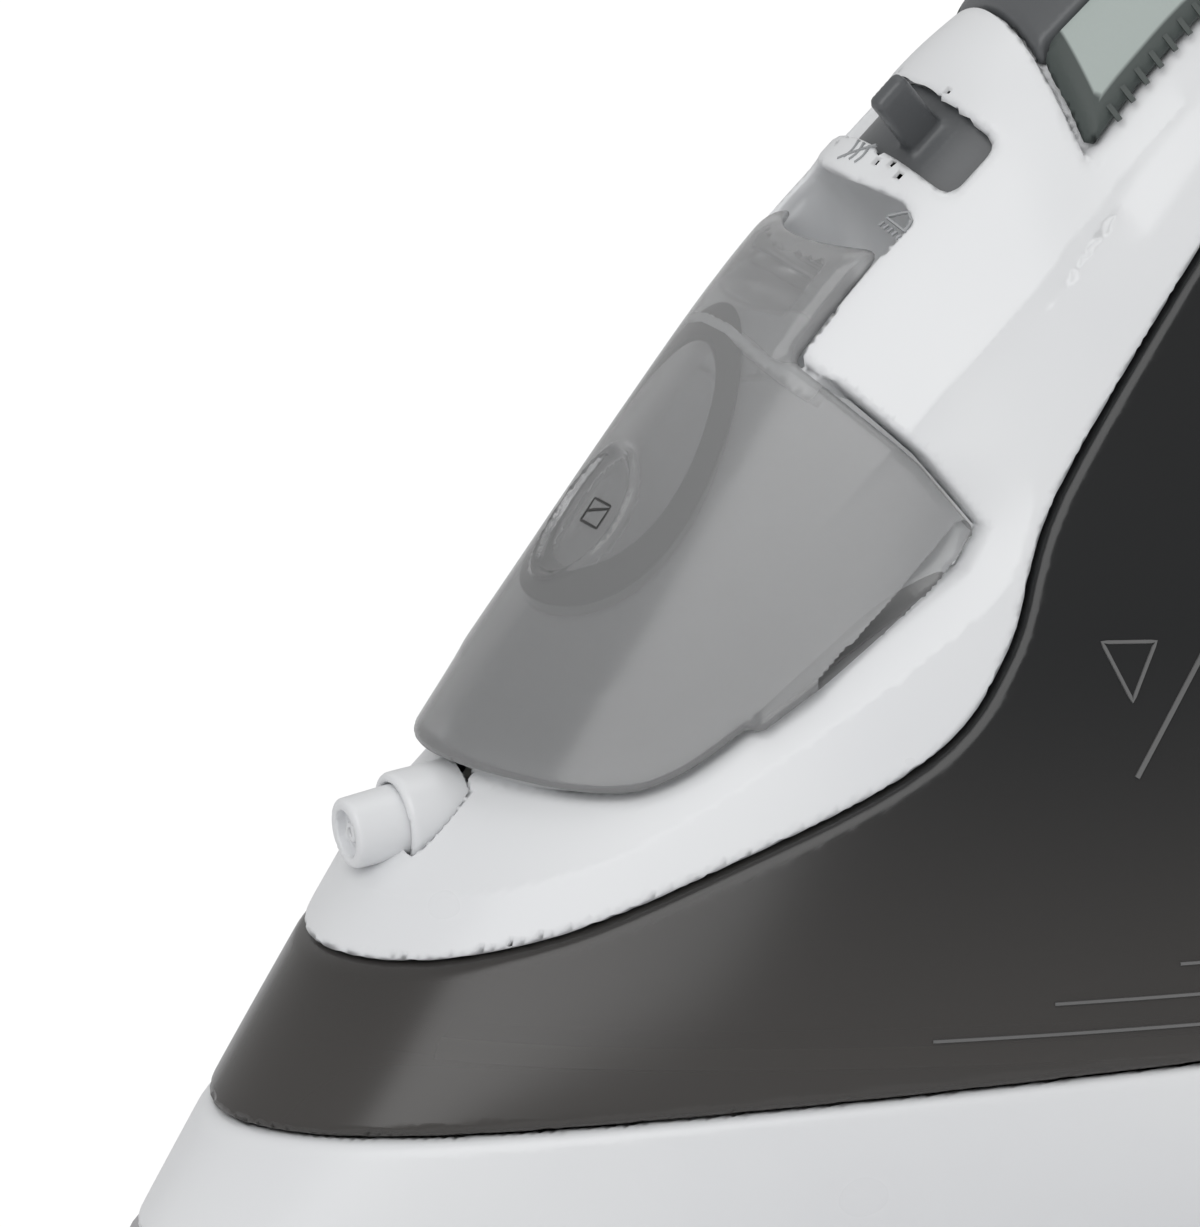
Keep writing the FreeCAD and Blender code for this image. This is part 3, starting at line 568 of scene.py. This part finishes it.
def ribbon(points, width, rise, lift=0.0, closed=False):
    """Raised band along points on the form: its vertices and faces."""
    p, normal = settle(points, lift)
    ahead = np.roll(p, -1, axis=0) - np.roll(p, 1, axis=0)
    if not closed:
        ahead[0] = p[1] - p[0]
        ahead[-1] = p[-1] - p[-2]
    ahead /= np.linalg.norm(ahead, axis=1)[:, None]
    across = np.cross(normal, ahead)
    rows = [p - across * width / 2 - normal * 0.15, p - across * width * 0.35 + normal * rise,
            p + across * width * 0.35 + normal * rise, p + across * width / 2 - normal * 0.15]
    verts = np.stack(rows, axis=1).reshape(-1, 3)
    count = len(p)
    faces = []
    for i in range(count if closed else count - 1):
        j = (i + 1) % count
        for k in range(4):
            n = (k + 1) % 4
            faces.append((4 * i + k, 4 * i + n, 4 * j + n, 4 * j + k))
    if not closed:
        faces.append((0, 3, 2, 1))
        last = 4 * (count - 1)
        faces.append((last, last + 1, last + 2, last + 3))
    return verts, faces


def marks(name, ribbons):
    """One object from many ribbons."""
    verts, faces = [], []
    for points, width, rise, lift, closed in ribbons:
        v, f = ribbon(points, width, rise, lift, closed)
        faces += [tuple(i + len(verts) for i in face) for face in f]
        verts += [tuple(MM * c for c in (q - (HALF_LENGTH, 0, 0))) for q in v]
    mesh = bpy.data.meshes.new(name)
    mesh.from_pydata(verts, [], faces)
    mesh.validate()
    obj = bpy.data.objects.new(name, mesh)
    bpy.context.scene.collection.objects.link(obj)
    return obj


def rib_tree():
    """Node group that sets one bar on each point, turned by the point's own attribute."""
    tree = bpy.data.node_groups.new("bars_on_points", "GeometryNodeTree")
    face = tree.interface
    face.new_socket("Points", in_out="INPUT", socket_type="NodeSocketGeometry")
    for label in ("Width", "Length", "Rise"):
        face.new_socket(label, in_out="INPUT", socket_type="NodeSocketFloat")
    face.new_socket("Material", in_out="INPUT", socket_type="NodeSocketMaterial")
    face.new_socket("Bars", in_out="OUTPUT", socket_type="NodeSocketGeometry")
    nodes, links = tree.nodes, tree.links
    given = nodes.new("NodeGroupInput")
    result = nodes.new("NodeGroupOutput")
    dims = nodes.new("ShaderNodeCombineXYZ")
    bar = nodes.new("GeometryNodeMeshCube")
    turn = nodes.new("GeometryNodeInputNamedAttribute")
    turn.data_type = "FLOAT_VECTOR"
    turn.inputs["Name"].default_value = "turn"
    spread = nodes.new("GeometryNodeInstanceOnPoints")
    real = nodes.new("GeometryNodeRealizeInstances")
    coat = nodes.new("GeometryNodeSetMaterial")
    for label, axis in (("Width", "X"), ("Length", "Y"), ("Rise", "Z")):
        links.new(given.outputs[label], dims.inputs[axis])
    links.new(dims.outputs["Vector"], bar.inputs["Size"])
    links.new(given.outputs["Points"], spread.inputs["Points"])
    links.new(bar.outputs["Mesh"], spread.inputs["Instance"])
    links.new(turn.outputs["Attribute"], spread.inputs["Rotation"])
    links.new(spread.outputs["Instances"], real.inputs["Geometry"])
    links.new(real.outputs["Geometry"], coat.inputs["Geometry"])
    links.new(given.outputs["Material"], coat.inputs["Material"])
    links.new(coat.outputs["Geometry"], result.inputs["Bars"])
    return tree


def repeated(name, centres, aheads, width, length, rise, finish):
    """Small bars at points on the form, each along its own direction, made by a node group."""
    points, normals = settle(centres)
    mesh = bpy.data.meshes.new(name + "_points")
    mesh.from_pydata([tuple(MM * c for c in (p - (HALF_LENGTH, 0, 0))) for p in points], [], [])
    turns = []
    for normal, ahead in zip(normals, np.array(aheads)):
        up = Vector(normal)
        along_bar = Vector(ahead - normal * (ahead @ normal)).normalized()
        turns += Matrix((along_bar.cross(up), along_bar, up)).transposed().to_euler()
    mesh.attributes.new("turn", "FLOAT_VECTOR", "POINT").data.foreach_set("vector", turns)
    maker = bpy.data.objects.new(name + "_maker", mesh)
    bpy.context.scene.collection.objects.link(maker)
    tree = rib_tree()
    modifier = maker.modifiers.new("bars", "NODES")
    modifier.node_group = tree
    given = {"Width": width, "Length": length, "Rise": rise, "Material": material(finish)}
    for item in tree.interface.items_tree:
        if item.in_out == "INPUT" and item.name in given:
            modifier[item.identifier] = given[item.name]
    bpy.context.view_layer.update()
    ready = maker.evaluated_get(bpy.context.evaluated_depsgraph_get())
    obj = bpy.data.objects.new(name, bpy.data.meshes.new_from_object(ready))
    bpy.context.scene.collection.objects.link(obj)
    bpy.data.objects.remove(maker)
    paint(obj, finish)
    return obj


def dense(corners, step=0.4):
    """Straight runs cut into short pieces."""
    line = []
    for a, b in zip(corners, corners[1:]):
        count = max(1, int(math.dist(a, b) / step))
        line += [tuple(np.add(a, np.subtract(b, a) * i / count)) for i in range(count)]
    return line + [corners[-1]]


def on_hood(centre_z, offset, sketch):
    """Flat drawing (right, up) laid on the hood's front at a height, right towards the near side."""
    base = np.array([nose_at(centre_z), 0, centre_z])
    return [base + (0, -offset, 0) + np.array([SLOPE.x, 0, SLOPE.z]) * up + np.array([0, -1, 0]) * right
            for right, up in dense(sketch, 0.3)]


# Materials.

def fresh(name):
    material = bpy.data.materials.new(name)
    material.use_nodes = True
    nodes = material.node_tree.nodes
    return material, nodes, material.node_tree.links, nodes["Principled BSDF"]


def grain(material, scale, strength, distance, detail=3.0):
    """Fine moulded texture in the bump."""
    nodes, links = material.node_tree.nodes, material.node_tree.links
    place = nodes.new("ShaderNodeTexCoord")
    noise = nodes.new("ShaderNodeTexNoise")
    noise.inputs["Scale"].default_value = scale
    noise.inputs["Detail"].default_value = detail
    bump = nodes.new("ShaderNodeBump")
    bump.inputs["Strength"].default_value = strength
    bump.inputs["Distance"].default_value = distance
    links.new(place.outputs["Object"], noise.inputs["Vector"])
    links.new(noise.outputs["Fac"], bump.inputs["Height"])
    links.new(bump.outputs["Normal"], nodes["Principled BSDF"].inputs["Normal"])
    return place, noise


def tinted(name, low, high, roughness, scale=700.0, strength=0.05, spread=0.06, metallic=0.0):
    """Opaque surface whose colour and roughness drift a little."""
    material, nodes, links, shader = fresh(name)
    place, noise = grain(material, scale, strength, 0.0002)
    cloud = nodes.new("ShaderNodeTexNoise")
    cloud.inputs["Scale"].default_value = 35.0
    links.new(place.outputs["Object"], cloud.inputs["Vector"])
    ramp = nodes.new("ShaderNodeValToRGB")
    ramp.color_ramp.elements[0].position = 0.3
    ramp.color_ramp.elements[1].position = 0.7
    ramp.color_ramp.elements[0].color = (*low, 1)
    ramp.color_ramp.elements[1].color = (*high, 1)
    links.new(cloud.outputs["Fac"], ramp.inputs["Fac"])
    links.new(ramp.outputs["Color"], shader.inputs["Base Color"])
    rough = nodes.new("ShaderNodeMapRange")
    rough.inputs["To Min"].default_value = roughness - spread
    rough.inputs["To Max"].default_value = roughness + spread
    links.new(cloud.outputs["Fac"], rough.inputs["Value"])
    links.new(rough.outputs["Result"], shader.inputs["Roughness"])
    shader.inputs["Metallic"].default_value = metallic
    return material


def clear(name, low_tint, high_tint, heights, roughness, amount):
    """Smoky see-through plastic whose tint runs from one colour at one height to another at a second height, with a
    faint flow in its surface.
    """
    material, nodes, links, shader = fresh(name)
    place, noise = grain(material, 60.0, 0.03, 0.0004, 1.0)
    split = nodes.new("ShaderNodeSeparateXYZ")
    links.new(place.outputs["Object"], split.inputs["Vector"])
    climb = nodes.new("ShaderNodeMapRange")
    climb.inputs["From Min"].default_value = heights[0] * MM
    climb.inputs["From Max"].default_value = heights[1] * MM
    links.new(split.outputs["Z"], climb.inputs["Value"])
    ramp = nodes.new("ShaderNodeValToRGB")
    ramp.color_ramp.interpolation = "EASE"
    ramp.color_ramp.elements[0].color = (*low_tint, 1)
    ramp.color_ramp.elements[1].color = (*high_tint, 1)
    links.new(climb.outputs["Result"], ramp.inputs["Fac"])
    links.new(ramp.outputs["Color"], shader.inputs["Base Color"])
    shader.inputs["Roughness"].default_value = roughness
    shader.inputs["IOR"].default_value = 1.49
    shader.inputs["Transmission Weight"].default_value = amount
    return material


def painted_shade_edged(name, face, shade_strip, roughness):
    """Soft grip skin with painted shade: a darker band where the edge-distance attribute falls below a set value,
    standing in for the shade on the rolled edge that faces down.
    """
    material, nodes, links, shader = fresh(name)
    grain(material, 1800.0, 0.2, 0.0002)
    shade_rim = nodes.new("ShaderNodeAttribute")
    shade_rim.attribute_name = "shade_rim"
    band = nodes.new("ShaderNodeMapRange")
    band.inputs["From Min"].default_value = 2.35
    band.inputs["From Max"].default_value = 2.65
    links.new(shade_rim.outputs["Fac"], band.inputs["Value"])
    ramp = nodes.new("ShaderNodeValToRGB")
    ramp.color_ramp.elements[0].color = (*shade_strip, 1)
    ramp.color_ramp.elements[1].color = (*face, 1)
    links.new(band.outputs["Result"], ramp.inputs["Fac"])
    links.new(ramp.outputs["Color"], shader.inputs["Base Color"])
    shader.inputs["Roughness"].default_value = roughness
    return material


def make_materials():
    return {
        "white": tinted("white_plastic", (0.74, 0.75, 0.765), (0.77, 0.78, 0.79), 0.3, 900, 0.04),
        # Tank tint darkens towards the top: painted shade under the hood.
        "smoke": clear("smoky_tank_painted_shade", (0.075, 0.07, 0.066), (0.012, 0.013, 0.014), (18, 66), 0.2, 0.35),
        "lid": clear("smoky_lid", (0.5, 0.505, 0.51), (0.66, 0.665, 0.67), (48, 100), 0.16, 0.7),
        # Grip colour, with its rolled edge darker as painted shade.
        "grip": painted_shade_edged("grip_rubber", (0.38, 0.43, 0.41), (0.055, 0.068, 0.064), 0.55),
        # Dark colour for the ribs on the rolled edge: painted shade.
        "edge": tinted("grip_edge_painted_shade", (0.05, 0.062, 0.058), (0.06, 0.072, 0.068), 0.5, 1800, 0.2),
        "grey": tinted("grey_plastic", (0.085, 0.09, 0.095), (0.1, 0.105, 0.11), 0.34, 1200, 0.1),
        "mark": tinted("mark_grey", (0.3, 0.31, 0.32), (0.34, 0.35, 0.36), 0.5),
        # Lighter than the tank: painted glint on its raised lines and level mark.
        "glint": tinted("tank_glint_line", (0.12, 0.12, 0.12), (0.15, 0.15, 0.15), 0.3),
        "line": tinted("mark_dark", (0.02, 0.02, 0.02), (0.03, 0.03, 0.03), 0.4),
        "dark": tinted("dark_plastic", (0.03, 0.03, 0.032), (0.045, 0.045, 0.048), 0.4),
        "tray": tinted("tray_plastic", (0.6, 0.61, 0.62), (0.68, 0.69, 0.7), 0.45),
        "red": tinted("valve_red", (0.16, 0.012, 0.01), (0.22, 0.02, 0.015), 0.4),
        "natural": tinted("natural_plastic", (0.6, 0.6, 0.56), (0.68, 0.68, 0.64), 0.45),
        "rubber": tinted("black_rubber", (0.02, 0.02, 0.02), (0.035, 0.035, 0.035), 0.65, 1500, 0.2),
        "steel": tinted("steel", (0.5, 0.5, 0.51), (0.62, 0.62, 0.63), 0.3, 900, 0.08, 0.05, 1.0),
        "sole": tinted("sole_steel", (0.62, 0.62, 0.64), (0.7, 0.7, 0.72), 0.2, 1600, 0.06, 0.05, 1.0),
        "cast": tinted("cast_alloy", (0.45, 0.45, 0.46), (0.56, 0.56, 0.57), 0.5, 500, 0.4, 0.08, 1.0),
        "brass": tinted("brass", (0.6, 0.42, 0.16), (0.68, 0.5, 0.22), 0.3, 900, 0.06, 0.05, 1.0),
        "ceramic": tinted("ceramic", (0.7, 0.68, 0.62), (0.78, 0.76, 0.7), 0.5, 600, 0.15),
        "amber": clear("amber_lens", (0.85, 0.3, 0.05), (0.9, 0.36, 0.08), (120, 152), 0.15, 0.7),
    }


MADE = {}


def material(name):
    if not MADE:
        MADE.update(make_materials())
    return MADE[name]


def paint(obj, *names):
    obj.data.materials.clear()
    for name in names:
        obj.data.materials.append(material(name))


def shell(name, shape, grid, finish, body, nodes, slot, mirrored=True):
    """Skin a shape, paint it and put it in a CAD node's place."""
    obj = body_mesh(name, *nets(shape, *grid, mirrored=mirrored))
    paint(obj, finish)
    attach(obj, body)
    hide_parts(*nodes)
    return obj


CARRIED = {
    "sole": ["soleplate"],
    "cast": ["sole_casting"],
    "steel": ["heating_element", "element_pins", "chamber_cover", "chamber_screws", "sole_screws", "lid_hinge_pin",
              "lever_pin", "dial_shaft", "thermal_fuse", "rear_screws", "clamp_screws"],
    "brass": ["valve_rod", "valve_body", "thermostat_blades"],
    "natural": ["tank_floor", "shaft_tube", "spray_tube", "spray_pump", "steam_pump", "spray_piston",
                "burst_piston", "lever_bearings", "rear_bracket", "cord_clamp", "terminal_block", "pump_intake"],
    "rubber": ["tank_seal", "lid_seal", "spray_bellows", "burst_bellows", "cord_gland", "power_leads"],
    "tray": ["fill_funnel"],
    "red": ["valve_guide"],
    "grey": ["temperature_dial"],
    "white": ["dial_bezel"],
    "ceramic": ["thermostat_base"],
    "amber": ["pilot_lens", "pilot_lamp"],
}


FRAME_POINT = (-0.0971, -0.015, 0.0669)
VIEW_AWAY = 1.3
VIEW_HEIGHT = 0.118


def aim(obj, target):
    obj.rotation_euler = (Vector(target) - obj.location).to_track_quat("-Z", "Y").to_euler()


def softbox(name, where, target, size, power):
    light = bpy.data.lights.new(name, "AREA")
    light.shape = "RECTANGLE"
    light.size, light.size_y = size
    light.energy = power
    obj = bpy.data.objects.new(name, light)
    obj.location = where
    aim(obj, target)
    bpy.context.scene.collection.objects.link(obj)


def build_stage(settings):
    scene = bpy.context.scene
    floor_mesh = bpy.data.meshes.new("floor")
    reach = 4.0
    floor_mesh.from_pydata([(-reach, -reach, 0), (reach, -reach, 0), (reach, reach, 0), (-reach, reach, 0)],
                           [], [(0, 1, 2, 3)])
    floor = bpy.data.objects.new("floor", floor_mesh)
    scene.collection.objects.link(floor)
    pale, nodes, links, shader = fresh("floor_white")
    shader.inputs["Base Color"].default_value = (0.86, 0.86, 0.87, 1)
    shader.inputs["Roughness"].default_value = 0.6
    glow = nodes.new("ShaderNodeEmission")
    glow.inputs["Color"].default_value = (1, 1, 1, 1)
    glow.inputs["Strength"].default_value = 1.05
    mix = nodes.new("ShaderNodeMixShader")
    rays = nodes.new("ShaderNodeLightPath")
    part = nodes.new("ShaderNodeMath")
    part.operation = "MULTIPLY"
    part.inputs[1].default_value = 0.95
    links.new(rays.outputs["Is Camera Ray"], part.inputs[0])
    links.new(part.outputs[0], mix.inputs["Fac"])
    links.new(shader.outputs["BSDF"], mix.inputs[1])
    links.new(glow.outputs["Emission"], mix.inputs[2])
    links.new(mix.outputs["Shader"], nodes["Material Output"].inputs["Surface"])
    floor.data.materials.append(pale)
    world = bpy.data.worlds.new("studio")
    scene.world = world
    world.use_nodes = True
    nodes, links = world.node_tree.nodes, world.node_tree.links
    back = nodes["Background"]
    rays = nodes.new("ShaderNodeLightPath")
    seen = nodes.new("ShaderNodeMapRange")
    seen.inputs["To Min"].default_value = 0.48
    seen.inputs["To Max"].default_value = 1.0
    links.new(rays.outputs["Is Camera Ray"], seen.inputs["Value"])
    back.inputs["Color"].default_value = (1, 1, 1, 1)
    links.new(seen.outputs["Result"], back.inputs["Strength"])
    middle = FRAME_POINT
    softbox("key", (-1.0, -0.9, 1.1), middle, (1.3, 1.3), settings.key_power)
    softbox("fill", (0.9, -1.2, 0.5), middle, (0.8, 0.8), 1.2)
    softbox("top", (0.0, 0.1, 1.4), middle, (1.0, 0.8), 2.5)
    camera = bpy.data.cameras.new("camera")
    camera.sensor_width = 36
    camera.sensor_fit = "VERTICAL"
    camera.sensor_height = 36
    camera.lens = 36 * VIEW_AWAY / VIEW_HEIGHT
    camera.clip_start = 0.01
    eye = bpy.data.objects.new("camera", camera)
    turn, rise = settings.view_turn, settings.view_rise
    back_way = Vector((math.sin(turn) * math.cos(rise), -math.cos(turn) * math.cos(rise), math.sin(rise)))
    eye.location = Vector(FRAME_POINT) + back_way * VIEW_AWAY
    aim(eye, FRAME_POINT)
    scene.collection.objects.link(eye)
    scene.camera = eye
    scene.view_settings.view_transform = "Standard"


def build_skirt(settings):
    grid = lattice([(-1, 120, 0.8), (120, 287, 1.5)], 61, (3, 33), 0.8)
    shell("skirt_moulding", skirt_shape, grid, "white", "base", ["skirt"], "white")


def build_tank(settings):
    grid = lattice([(-1, 122, 0.8), (122, 217, 1.4)], 61, (12, 112), 0.8)
    shell("tank_moulding", tank_shape, grid, "smoke", "base", ["tank_shell"], "smoke")
    lines = []
    for start, height in ((69, 27.4), (80.6, 30.5), (92.8, 33.7)):
        for side in (-1, 1):
            run = [side_spot(s, height + 0.022 * (s - start), side) for s in np.linspace(start, 208, 120)]
            lines.append((run, settings.line_width / MM, 0.22, 0, False))
    for side in (-1, 1):
        level = [side_spot(91 + 11 * f, 51 + 15 * f, side) for f in np.linspace(0, 1, 24)]
        lines.append((level, 0.6, 0.22, 0, False))
        corners = [(91.6, 58.0), (94.6, 63.4), (89.4, 63.6), (91.6, 58.0)]
        arrow = [side_spot(s, z, side) for s, z in dense(corners, 0.5)[:-1]]
        lines.append((arrow, 0.45, 0.22, 0, True))
    obj = marks("tank_lines", lines)
    # The raised lines and level mark are coloured lighter than the tank as painted glint.
    paint(obj, "glint")
    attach(obj, "base")


def build_housing(settings):
    grid = lattice([(9, 120, 0.8), (120, 258, 1.6)], 60, (26, 153), 0.8)
    shell("housing_moulding", housing_shape, grid, "white", "base", ["upper_housing"], "white")


def build_grip(settings):
    grid = lattice([(86, 125, 0.8), (125, 286, 1.5)], 40, (95, 153), 0.8)
    obj = shell("grip_moulding", grip_shape, grid, "grip", "base", ["grip_insert"], "grip")
    places = np.empty(len(obj.data.vertices) * 3)
    obj.data.vertices.foreach_get("co", places)
    places = places.reshape(-1, 3) / MM + (HALF_LENGTH, 0, 0)
    # Distance from the grip's edge; the material uses it to paint shade on the rolled edge.
    away = np.where(np.abs(places[:, 1]) > 9.2, -grip_area(places[:, 0], places[:, 2]), 9.0)
    obj.data.attributes.new("shade_rim", "FLOAT", "POINT").data.foreach_set("value", away)
    centres, aheads = [], []
    for side in (-1, 1):
        for s0 in np.arange(99, 204, settings.rib_pitch / MM):
            z0 = float(np.interp(s0, [a for a, _ in grip_line], [b for _, b in grip_line])) + 1.4
            low, high = (side_spot(s0 - 0.45 * f, z0 + 0.85 * f, side) for f in (-1, 1))
            centres.append((low + high) / 2)
            aheads.append(high - low)
    # The ribs take the dark edge colour, painted shade of the downward-facing edge.
    ribs = repeated("grip_ribs", centres, aheads, settings.rib_width, 0.0019, 0.0004, "edge")
    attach(ribs, "base")


def build_panel(settings):
    grid = lattice([(92, 154, 0.8)], 10, (112, 153), 0.8)
    shell("panel_moulding", panel_shape, grid, "grey", "base", ["button_panel"], "grey")
    for name, s in (("spray", SPRAY), ("burst", BURST)):
        grid = lattice([(s - 9, s + 9, 0.5)], 9, (120, 153), 0.5)
        shell(name + "_cap", button_shape(s), grid, "grey", name + "_key", [name + "_button"], "grey")


def build_cover(settings):
    grid = lattice([(250, 286, 1.2)], 60, (24, 128), 1.2)
    shell("cover_moulding", cover_shape, grid, "white", "base", ["rear_cover"], "white")


def build_lid(settings):
    grid = lattice([(27, 84, 0.55)], 26, (46, 106), 0.55)
    shell("lid_moulding", lid_shape, grid, "lid", "lid", ["fill_lid"], "smoke")


def build_lever(settings):
    pitch = 0.45
    xs = np.arange(LEVER_AXIS.x - 24, LEVER_AXIS.x + 14, pitch)
    ys = np.arange(-17, 17, pitch)
    zs = np.arange(LEVER_AXIS.z - 12, LEVER_AXIS.z + 26, pitch)
    shell("lever_moulding", lever_shape, (xs, ys, zs), "grey", "lever", ["steam_lever"], "grey", mirrored=False)


def build_nozzle(settings):
    pitch = 0.4
    grid = lattice([(22, 40, pitch)], 6, (36, 53), pitch)
    shell("nozzle_moulding", nozzle_shape, grid, "white", "base", ["spray_nozzle"], "white")
    shell("collar_moulding", collar_shape, grid, "white", "base", ["nozzle_collar"], "white")


def build_marks(settings):
    wave = [(0.35 * math.sin(3.2 * f), 2.2 * f) for f in np.linspace(0, 1, 8)]
    hood = []
    for shift in (-1.1, 0, 1.1):
        hood.append((on_hood(106.2, 1.0, [(a + shift, b - 1) for a, b in wave]), 0.32, 0.12, 0, False))
    hood.append((on_hood(106.2, 1.0, [(-1.9, -1.4), (1.9, 1.6)]), 0.32, 0.12, 0, False))
    iron = [(-1.6, 0), (1.8, 0), (1.5, 1.3), (0.2, 1.7), (-1.6, 0.2)]
    hood.append((on_hood(103.6, 12.9, iron), 0.3, 0.12, 0, False))
    for i in range(5):
        x = -1.5 + 0.8 * i
        hood.append((on_hood(103.6, 12.9, [(x, -0.5), (x - 0.2, -1.1)]), 0.26, 0.12, 0, False))
    obj = marks("steam_signs", hood)
    paint(obj, "mark")
    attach(obj, "base")
    sign = [(-2.0, -1.3), (2.0, -1.3), (2.0, 1.3), (-2.0, 1.3), (-2.0, -1.3)]
    lid = [(on_hood(73.5, 0, sign), 0.32, 0.14, -1.45, False),
           (on_hood(73.5, 0, [(-2.0, -0.2), (2.0, 1.0)]), 0.3, 0.14, -1.45, False)]
    obj = marks("fill_sign", lid)
    paint(obj, "line")
    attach(obj, "lid")


def build_carried(settings):
    for finish, names in CARRIED.items():
        for name in names:
            paint(bpy.data.objects[name], finish)


class IronSettings(bpy.types.PropertyGroup):
    """Sizes and looks that can be changed in the panel."""
    rib_pitch: bpy.props.FloatProperty(name="Rib pitch", description="Distance between the ribs of the grip's edge",
                                       default=0.0016, min=0.0005, unit="LENGTH")
    rib_width: bpy.props.FloatProperty(name="Rib width", description="Width of one rib of the grip's edge",
                                       default=0.00055, min=0.0001, unit="LENGTH")
    line_width: bpy.props.FloatProperty(name="Line width", description="Width of the raised lines on the tank",
                                        default=0.0004, min=0.0001, unit="LENGTH")
    key_power: bpy.props.FloatProperty(name="Key light", description="Power of the main light",
                                       default=11.5, min=0.0, unit="POWER")
    view_turn: bpy.props.FloatProperty(name="View turn", description="Turn of the camera round the iron",
                                       default=math.radians(-25), subtype="ANGLE")
    view_rise: bpy.props.FloatProperty(name="View rise", description="Height angle of the camera",
                                       default=math.radians(15), subtype="ANGLE")


class IRON_OT_build_stage(bpy.types.Operator):
    """Set up the floor, the lights and the camera"""
    bl_idname = "iron.build_stage"
    bl_label = "Stage"

    def execute(self, context):
        build_stage(context.scene.iron)
        return {"FINISHED"}


class IRON_OT_build_skirt(bpy.types.Operator):
    """Build the white skirt round the sole"""
    bl_idname = "iron.build_skirt"
    bl_label = "Skirt"

    def execute(self, context):
        build_skirt(context.scene.iron)
        return {"FINISHED"}


class IRON_OT_build_tank(bpy.types.Operator):
    """Build the smoky tank with its raised lines and level mark"""
    bl_idname = "iron.build_tank"
    bl_label = "Water tank"

    def execute(self, context):
        build_tank(context.scene.iron)
        return {"FINISHED"}


class IRON_OT_build_housing(bpy.types.Operator):
    """Build the white hood and handle"""
    bl_idname = "iron.build_housing"
    bl_label = "Upper housing"

    def execute(self, context):
        build_housing(context.scene.iron)
        return {"FINISHED"}


class IRON_OT_build_grip(bpy.types.Operator):
    """Build the soft grip with its ribbed edge"""
    bl_idname = "iron.build_grip"
    bl_label = "Grip"

    def execute(self, context):
        build_grip(context.scene.iron)
        return {"FINISHED"}


class IRON_OT_build_panel(bpy.types.Operator):
    """Build the button panel and its two buttons"""
    bl_idname = "iron.build_panel"
    bl_label = "Buttons"

    def execute(self, context):
        build_panel(context.scene.iron)
        return {"FINISHED"}


class IRON_OT_build_cover(bpy.types.Operator):
    """Build the cover at the heel"""
    bl_idname = "iron.build_cover"
    bl_label = "Rear cover"

    def execute(self, context):
        build_cover(context.scene.iron)
        return {"FINISHED"}


class IRON_OT_build_lid(bpy.types.Operator):
    """Build the smoky filling lid"""
    bl_idname = "iron.build_lid"
    bl_label = "Filling lid"

    def execute(self, context):
        build_lid(context.scene.iron)
        return {"FINISHED"}


class IRON_OT_build_lever(bpy.types.Operator):
    """Build the steam lever"""
    bl_idname = "iron.build_lever"
    bl_label = "Steam lever"

    def execute(self, context):
        build_lever(context.scene.iron)
        return {"FINISHED"}


class IRON_OT_build_nozzle(bpy.types.Operator):
    """Build the spray nozzle and its collar"""
    bl_idname = "iron.build_nozzle"
    bl_label = "Spray nozzle"

    def execute(self, context):
        build_nozzle(context.scene.iron)
        return {"FINISHED"}


class IRON_OT_build_marks(bpy.types.Operator):
    """Build the small signs on the hood and the lid"""
    bl_idname = "iron.build_marks"
    bl_label = "Marks"

    def execute(self, context):
        build_marks(context.scene.iron)
        return {"FINISHED"}


class IRON_OT_build_carried(bpy.types.Operator):
    """Give the parts that keep their CAD shape their finish"""
    bl_idname = "iron.build_carried"
    bl_label = "Other parts"

    def execute(self, context):
        build_carried(context.scene.iron)
        return {"FINISHED"}


OPERATORS = (
    IRON_OT_build_stage,
    IRON_OT_build_skirt,
    IRON_OT_build_tank,
    IRON_OT_build_housing,
    IRON_OT_build_grip,
    IRON_OT_build_panel,
    IRON_OT_build_cover,
    IRON_OT_build_lid,
    IRON_OT_build_lever,
    IRON_OT_build_nozzle,
    IRON_OT_build_marks,
    IRON_OT_build_carried,
)


class IRON_PT_build(bpy.types.Panel):
    """Settings, and one button for each piece"""
    bl_idname = "IRON_PT_build"
    bl_label = "Steam iron"
    bl_space_type = "VIEW_3D"
    bl_region_type = "UI"
    bl_category = "Iron"

    def draw(self, context):
        for name in IronSettings.__annotations__:
            self.layout.prop(context.scene.iron, name)
        for operator in OPERATORS:
            self.layout.operator(operator.bl_idname)


def register():
    bpy.utils.register_class(IronSettings)
    bpy.types.Scene.iron = bpy.props.PointerProperty(type=IronSettings)
    for operator in OPERATORS:
        bpy.utils.register_class(operator)
    bpy.utils.register_class(IRON_PT_build)


def unregister():
    bpy.utils.unregister_class(IRON_PT_build)
    for operator in reversed(OPERATORS):
        bpy.utils.unregister_class(operator)
    del bpy.types.Scene.iron
    bpy.utils.unregister_class(IronSettings)


def main():
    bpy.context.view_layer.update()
    register()
    for operator in OPERATORS:
        group, name = operator.bl_idname.split(".")
        getattr(getattr(bpy.ops, group), name)()


if __name__ == "__main__":
    main()
